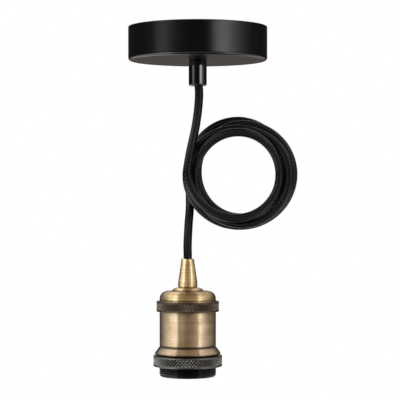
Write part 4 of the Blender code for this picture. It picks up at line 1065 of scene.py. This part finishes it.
TALL_UPWARDS = [
    (-1.0, 0.1),
    (-0.85, 0.2),
    (-0.65, 0.5),
    (-0.50, 1.0),
    (-0.30, 1.0),
    (-0.20, 0.0),
    (0.27, 0.0),
    (0.34, 1.0),
    (0.50, 1.0),
    (0.65, 0.28),
    (0.85, 0.12),
    (1.0, 0.1),
]
ROOM_UPWARDS = [
    (-1.0, 0.06),
    (-0.82, 0.12),
    (-0.66, 0.75),
    (-0.40, 0.8),
    (-0.2, 0.13),
    (-0.1, 0.07),
    (-0.04, 0.03),
    (0.0, 0.02),
    (0.16, 0.04),
    (0.34, 0.2),
    (0.5, 0.65),
    (0.75, 0.7),
    (0.93, 0.3),
    (1.0, 0.3),
]
LOW_COLOUR = (1.0, 1.0, 1.0, 1.0)
TALL_COLOUR = (0.94, 1.0, 1.17, 1.0)
# Towards the rear the boxes fade and the white sheet stands, by y of the direction looked in
REAR_FADE = [(-1.0, 1.0), (0.75, 1.0), (0.92, 0.0), (1.0, 0.0)]
SHEET_FROM = 0.985
ROOM_COLOUR = (1.12, 0.98, 0.9, 1.0)


def level_at(tree, place, stops):
    """A light's level at a place from -1 to 1, on straight lines between its (place, level) stops."""
    share = add(tree, "MapRange", {"Value": place, 1: -1.0, 2: 1.0})
    node = add(tree, "ValToRGB", {0: share.outputs[0]})
    while len(node.color_ramp.elements) < len(stops):
        node.color_ramp.elements.new(1.0)
    for element, (stop, level) in zip(node.color_ramp.elements, stops):
        element.position = (stop + 1.0) / 2.0
        element.color = (level, level, level, 1.0)
    return node.outputs[0]


def studio_world():
    """A plain studio: a dark room at the lamp's level between a lit floor and ceiling. Beside the camera
    stand tall boxes, with a low box and a thin strip before their dark middles.

    Each light is its level across times its level upwards, by the direction looked in. A bar's surface
    faces halfway between the eye and the light that it shows, so a direction (x, y, z) is shown at x over
    the length of (x, 1 - y) across. The eye sees a white backdrop everywhere, and reflections see it as a
    white sheet straight behind the lamp.
    """
    world = bpy.data.worlds.new("studio")
    bpy.context.scene.world = world
    world.use_nodes = True
    tree = world.node_tree
    tree.nodes.clear()
    split = add(tree, "SeparateXYZ", {0: add(tree, "TexCoord").outputs["Generated"]})
    ray = add(tree, "LightPath")
    away = add(tree, "Math", {0: 1.0, 1: split.outputs["Y"]}, operation="SUBTRACT")
    level_way = add(tree, "CombineXYZ", {"X": split.outputs["X"], "Y": away.outputs[0]})
    bar = add(tree, "VectorMath", {0: level_way.outputs[0]}, operation="NORMALIZE")
    across = add(tree, "SeparateXYZ", {0: bar.outputs["Vector"]}).outputs["X"]
    upwards = split.outputs["Z"]
    front = level_at(tree, split.outputs["Y"], REAR_FADE)
    room = level_at(tree, upwards, ROOM_UPWARDS)
    total = add(tree, "Background", {"Color": ROOM_COLOUR, "Strength": room}).outputs[0]
    boxes = (
        (LOW_COLOUR, LOW_LEVEL, LOW_ACROSS, LOW_UPWARDS),
        (LOW_COLOUR, STRIP_LEVEL, STRIP_ACROSS, STRIP_UPWARDS),
        (TALL_COLOUR, TALL_LEVEL, TALL_ACROSS, TALL_UPWARDS),
    )
    for colour, level, sideways, vertical in boxes:
        shape = add(
            tree,
            "Math",
            {0: level_at(tree, across, sideways), 1: level_at(tree, upwards, vertical)},
            operation="MULTIPLY",
        )
        faded = add(tree, "Math", {0: shape.outputs[0], 1: front}, operation="MULTIPLY")
        strength = add(tree, "Math", {0: faded.outputs[0], 1: level}, operation="MULTIPLY")
        light = add(tree, "Background", {"Color": colour, "Strength": strength.outputs[0]})
        total = add(tree, "AddShader", {0: total, 1: light.outputs[0]}).outputs[0]
    behind = add(tree, "Math", {0: split.outputs["Y"], 1: SHEET_FROM}, operation="GREATER_THAN")
    above = add(tree, "Math", {0: upwards, 1: 0.0}, operation="GREATER_THAN")
    sheet = add(tree, "Math", {0: behind.outputs[0], 1: above.outputs[0]}, operation="MULTIPLY")
    bounced = add(
        tree,
        "Math",
        {0: ray.outputs["Is Glossy Ray"], 1: ray.outputs["Is Transmission Ray"]},
        operation="MAXIMUM",
    )
    mirrored = add(tree, "Math", {0: bounced.outputs[0], 1: sheet.outputs[0]}, operation="MULTIPLY")
    backdrop = add(
        tree, "Math", {0: ray.outputs["Is Camera Ray"], 1: mirrored.outputs[0]}, operation="MAXIMUM"
    )
    white_sheet = add(tree, "Background", {"Color": linear("#ffffff"), "Strength": 1.0})
    seen = add(tree, "MixShader", {0: backdrop.outputs[0], 1: total, 2: white_sheet.outputs[0]})
    add(tree, "OutputWorld", {"Surface": seen.outputs[0]})


def soft_light(name, place, aim, width, height, power):
    """A rectangular soft light at a place, turned to its aim."""
    light = bpy.data.lights.new(name, "AREA")
    light.shape = "RECTANGLE"
    light.size, light.size_y, light.energy = width, height, power
    lamp = bpy.data.objects.new(name, light)
    bpy.context.scene.collection.objects.link(lamp)
    lamp.location = place
    way = np.array(aim) - np.array(place)
    lamp.rotation_mode = "QUATERNION"
    lamp.rotation_quaternion = Vector(way.tolist()).to_track_quat("-Z", "Y")
    lamp.visible_glossy = False


def pale_floor():
    """A pale round floor well below the lamp: one flat face inside a circle of points.

    Seen from underneath it lets the eye through. Reflections take the studio's own lower half instead.
    """
    reach, level, sides = 3.2, -0.70, 96
    angle = angles(sides)
    rim = np.column_stack([reach * np.cos(angle), reach * np.sin(angle), np.full(sides, level)])
    mesh = bpy.data.meshes.new("floor")
    mesh.from_pydata(rim.tolist(), [], [list(range(sides))])
    material, tree = begin("pale_painted_floor")
    place = add(tree, "TexCoord").outputs["Object"]
    cloud = add(tree, "TexNoise", {"Vector": place, "Scale": per_mm(150.0), "Detail": 3.0})
    colour = add(
        tree, "Mix", {0: cloud.outputs["Fac"], 6: linear("#e4e3e0"), 7: linear("#eeedeb")}, data_type="RGBA"
    )
    shader = add(tree, "BsdfPrincipled", {"Base Color": colour.outputs[2], "Roughness": 0.7})
    clear = add(tree, "BsdfTransparent")
    under = add(tree, "NewGeometry").outputs["Backfacing"]
    both = add(tree, "MixShader", {0: under, 1: shader.outputs[0], 2: clear.outputs[0]})
    add(tree, "OutputMaterial", {"Surface": both.outputs[0]})
    mesh.materials.append(material)
    floor = bpy.data.objects.new("floor", mesh)
    bpy.context.scene.collection.objects.link(floor)
    floor.visible_glossy = False


studio_world()
pale_floor()
middle = (0.006, 0.0, -0.125)
soft_light("left_soft_box", (-1.1, -0.9, 0.1), middle, width=0.7, height=1.2, power=4.0)
soft_light("right_soft_box", (1.1, -0.9, 0.1), middle, width=0.7, height=1.2, power=4.5)
soft_light("rear_left_rim", (-1.0, 0.9, 0.3), middle, width=0.4, height=1.2, power=6.0)
soft_light("rear_right_rim", (1.0, 0.9, 0.3), middle, width=0.4, height=1.2, power=6.0)
soft_light("overhead_soft_box", (0.0, 0.3, 1.2), middle, width=1.0, height=1.0, power=5.0)

# Camera: level, a little to the right of the rose's axis, at the height of the coil

view = bpy.data.cameras.new("camera")
view.lens = 139.0
view.sensor_width = 36.0
camera = bpy.data.objects.new("camera", view)
bpy.context.scene.collection.objects.link(camera)
camera.location = (0.00165, -1.1115, -0.1245)
camera.rotation_euler = (np.pi / 2, 0.0, 0.0)
bpy.context.scene.camera = camera

bpy.context.scene.view_settings.view_transform = "Standard"
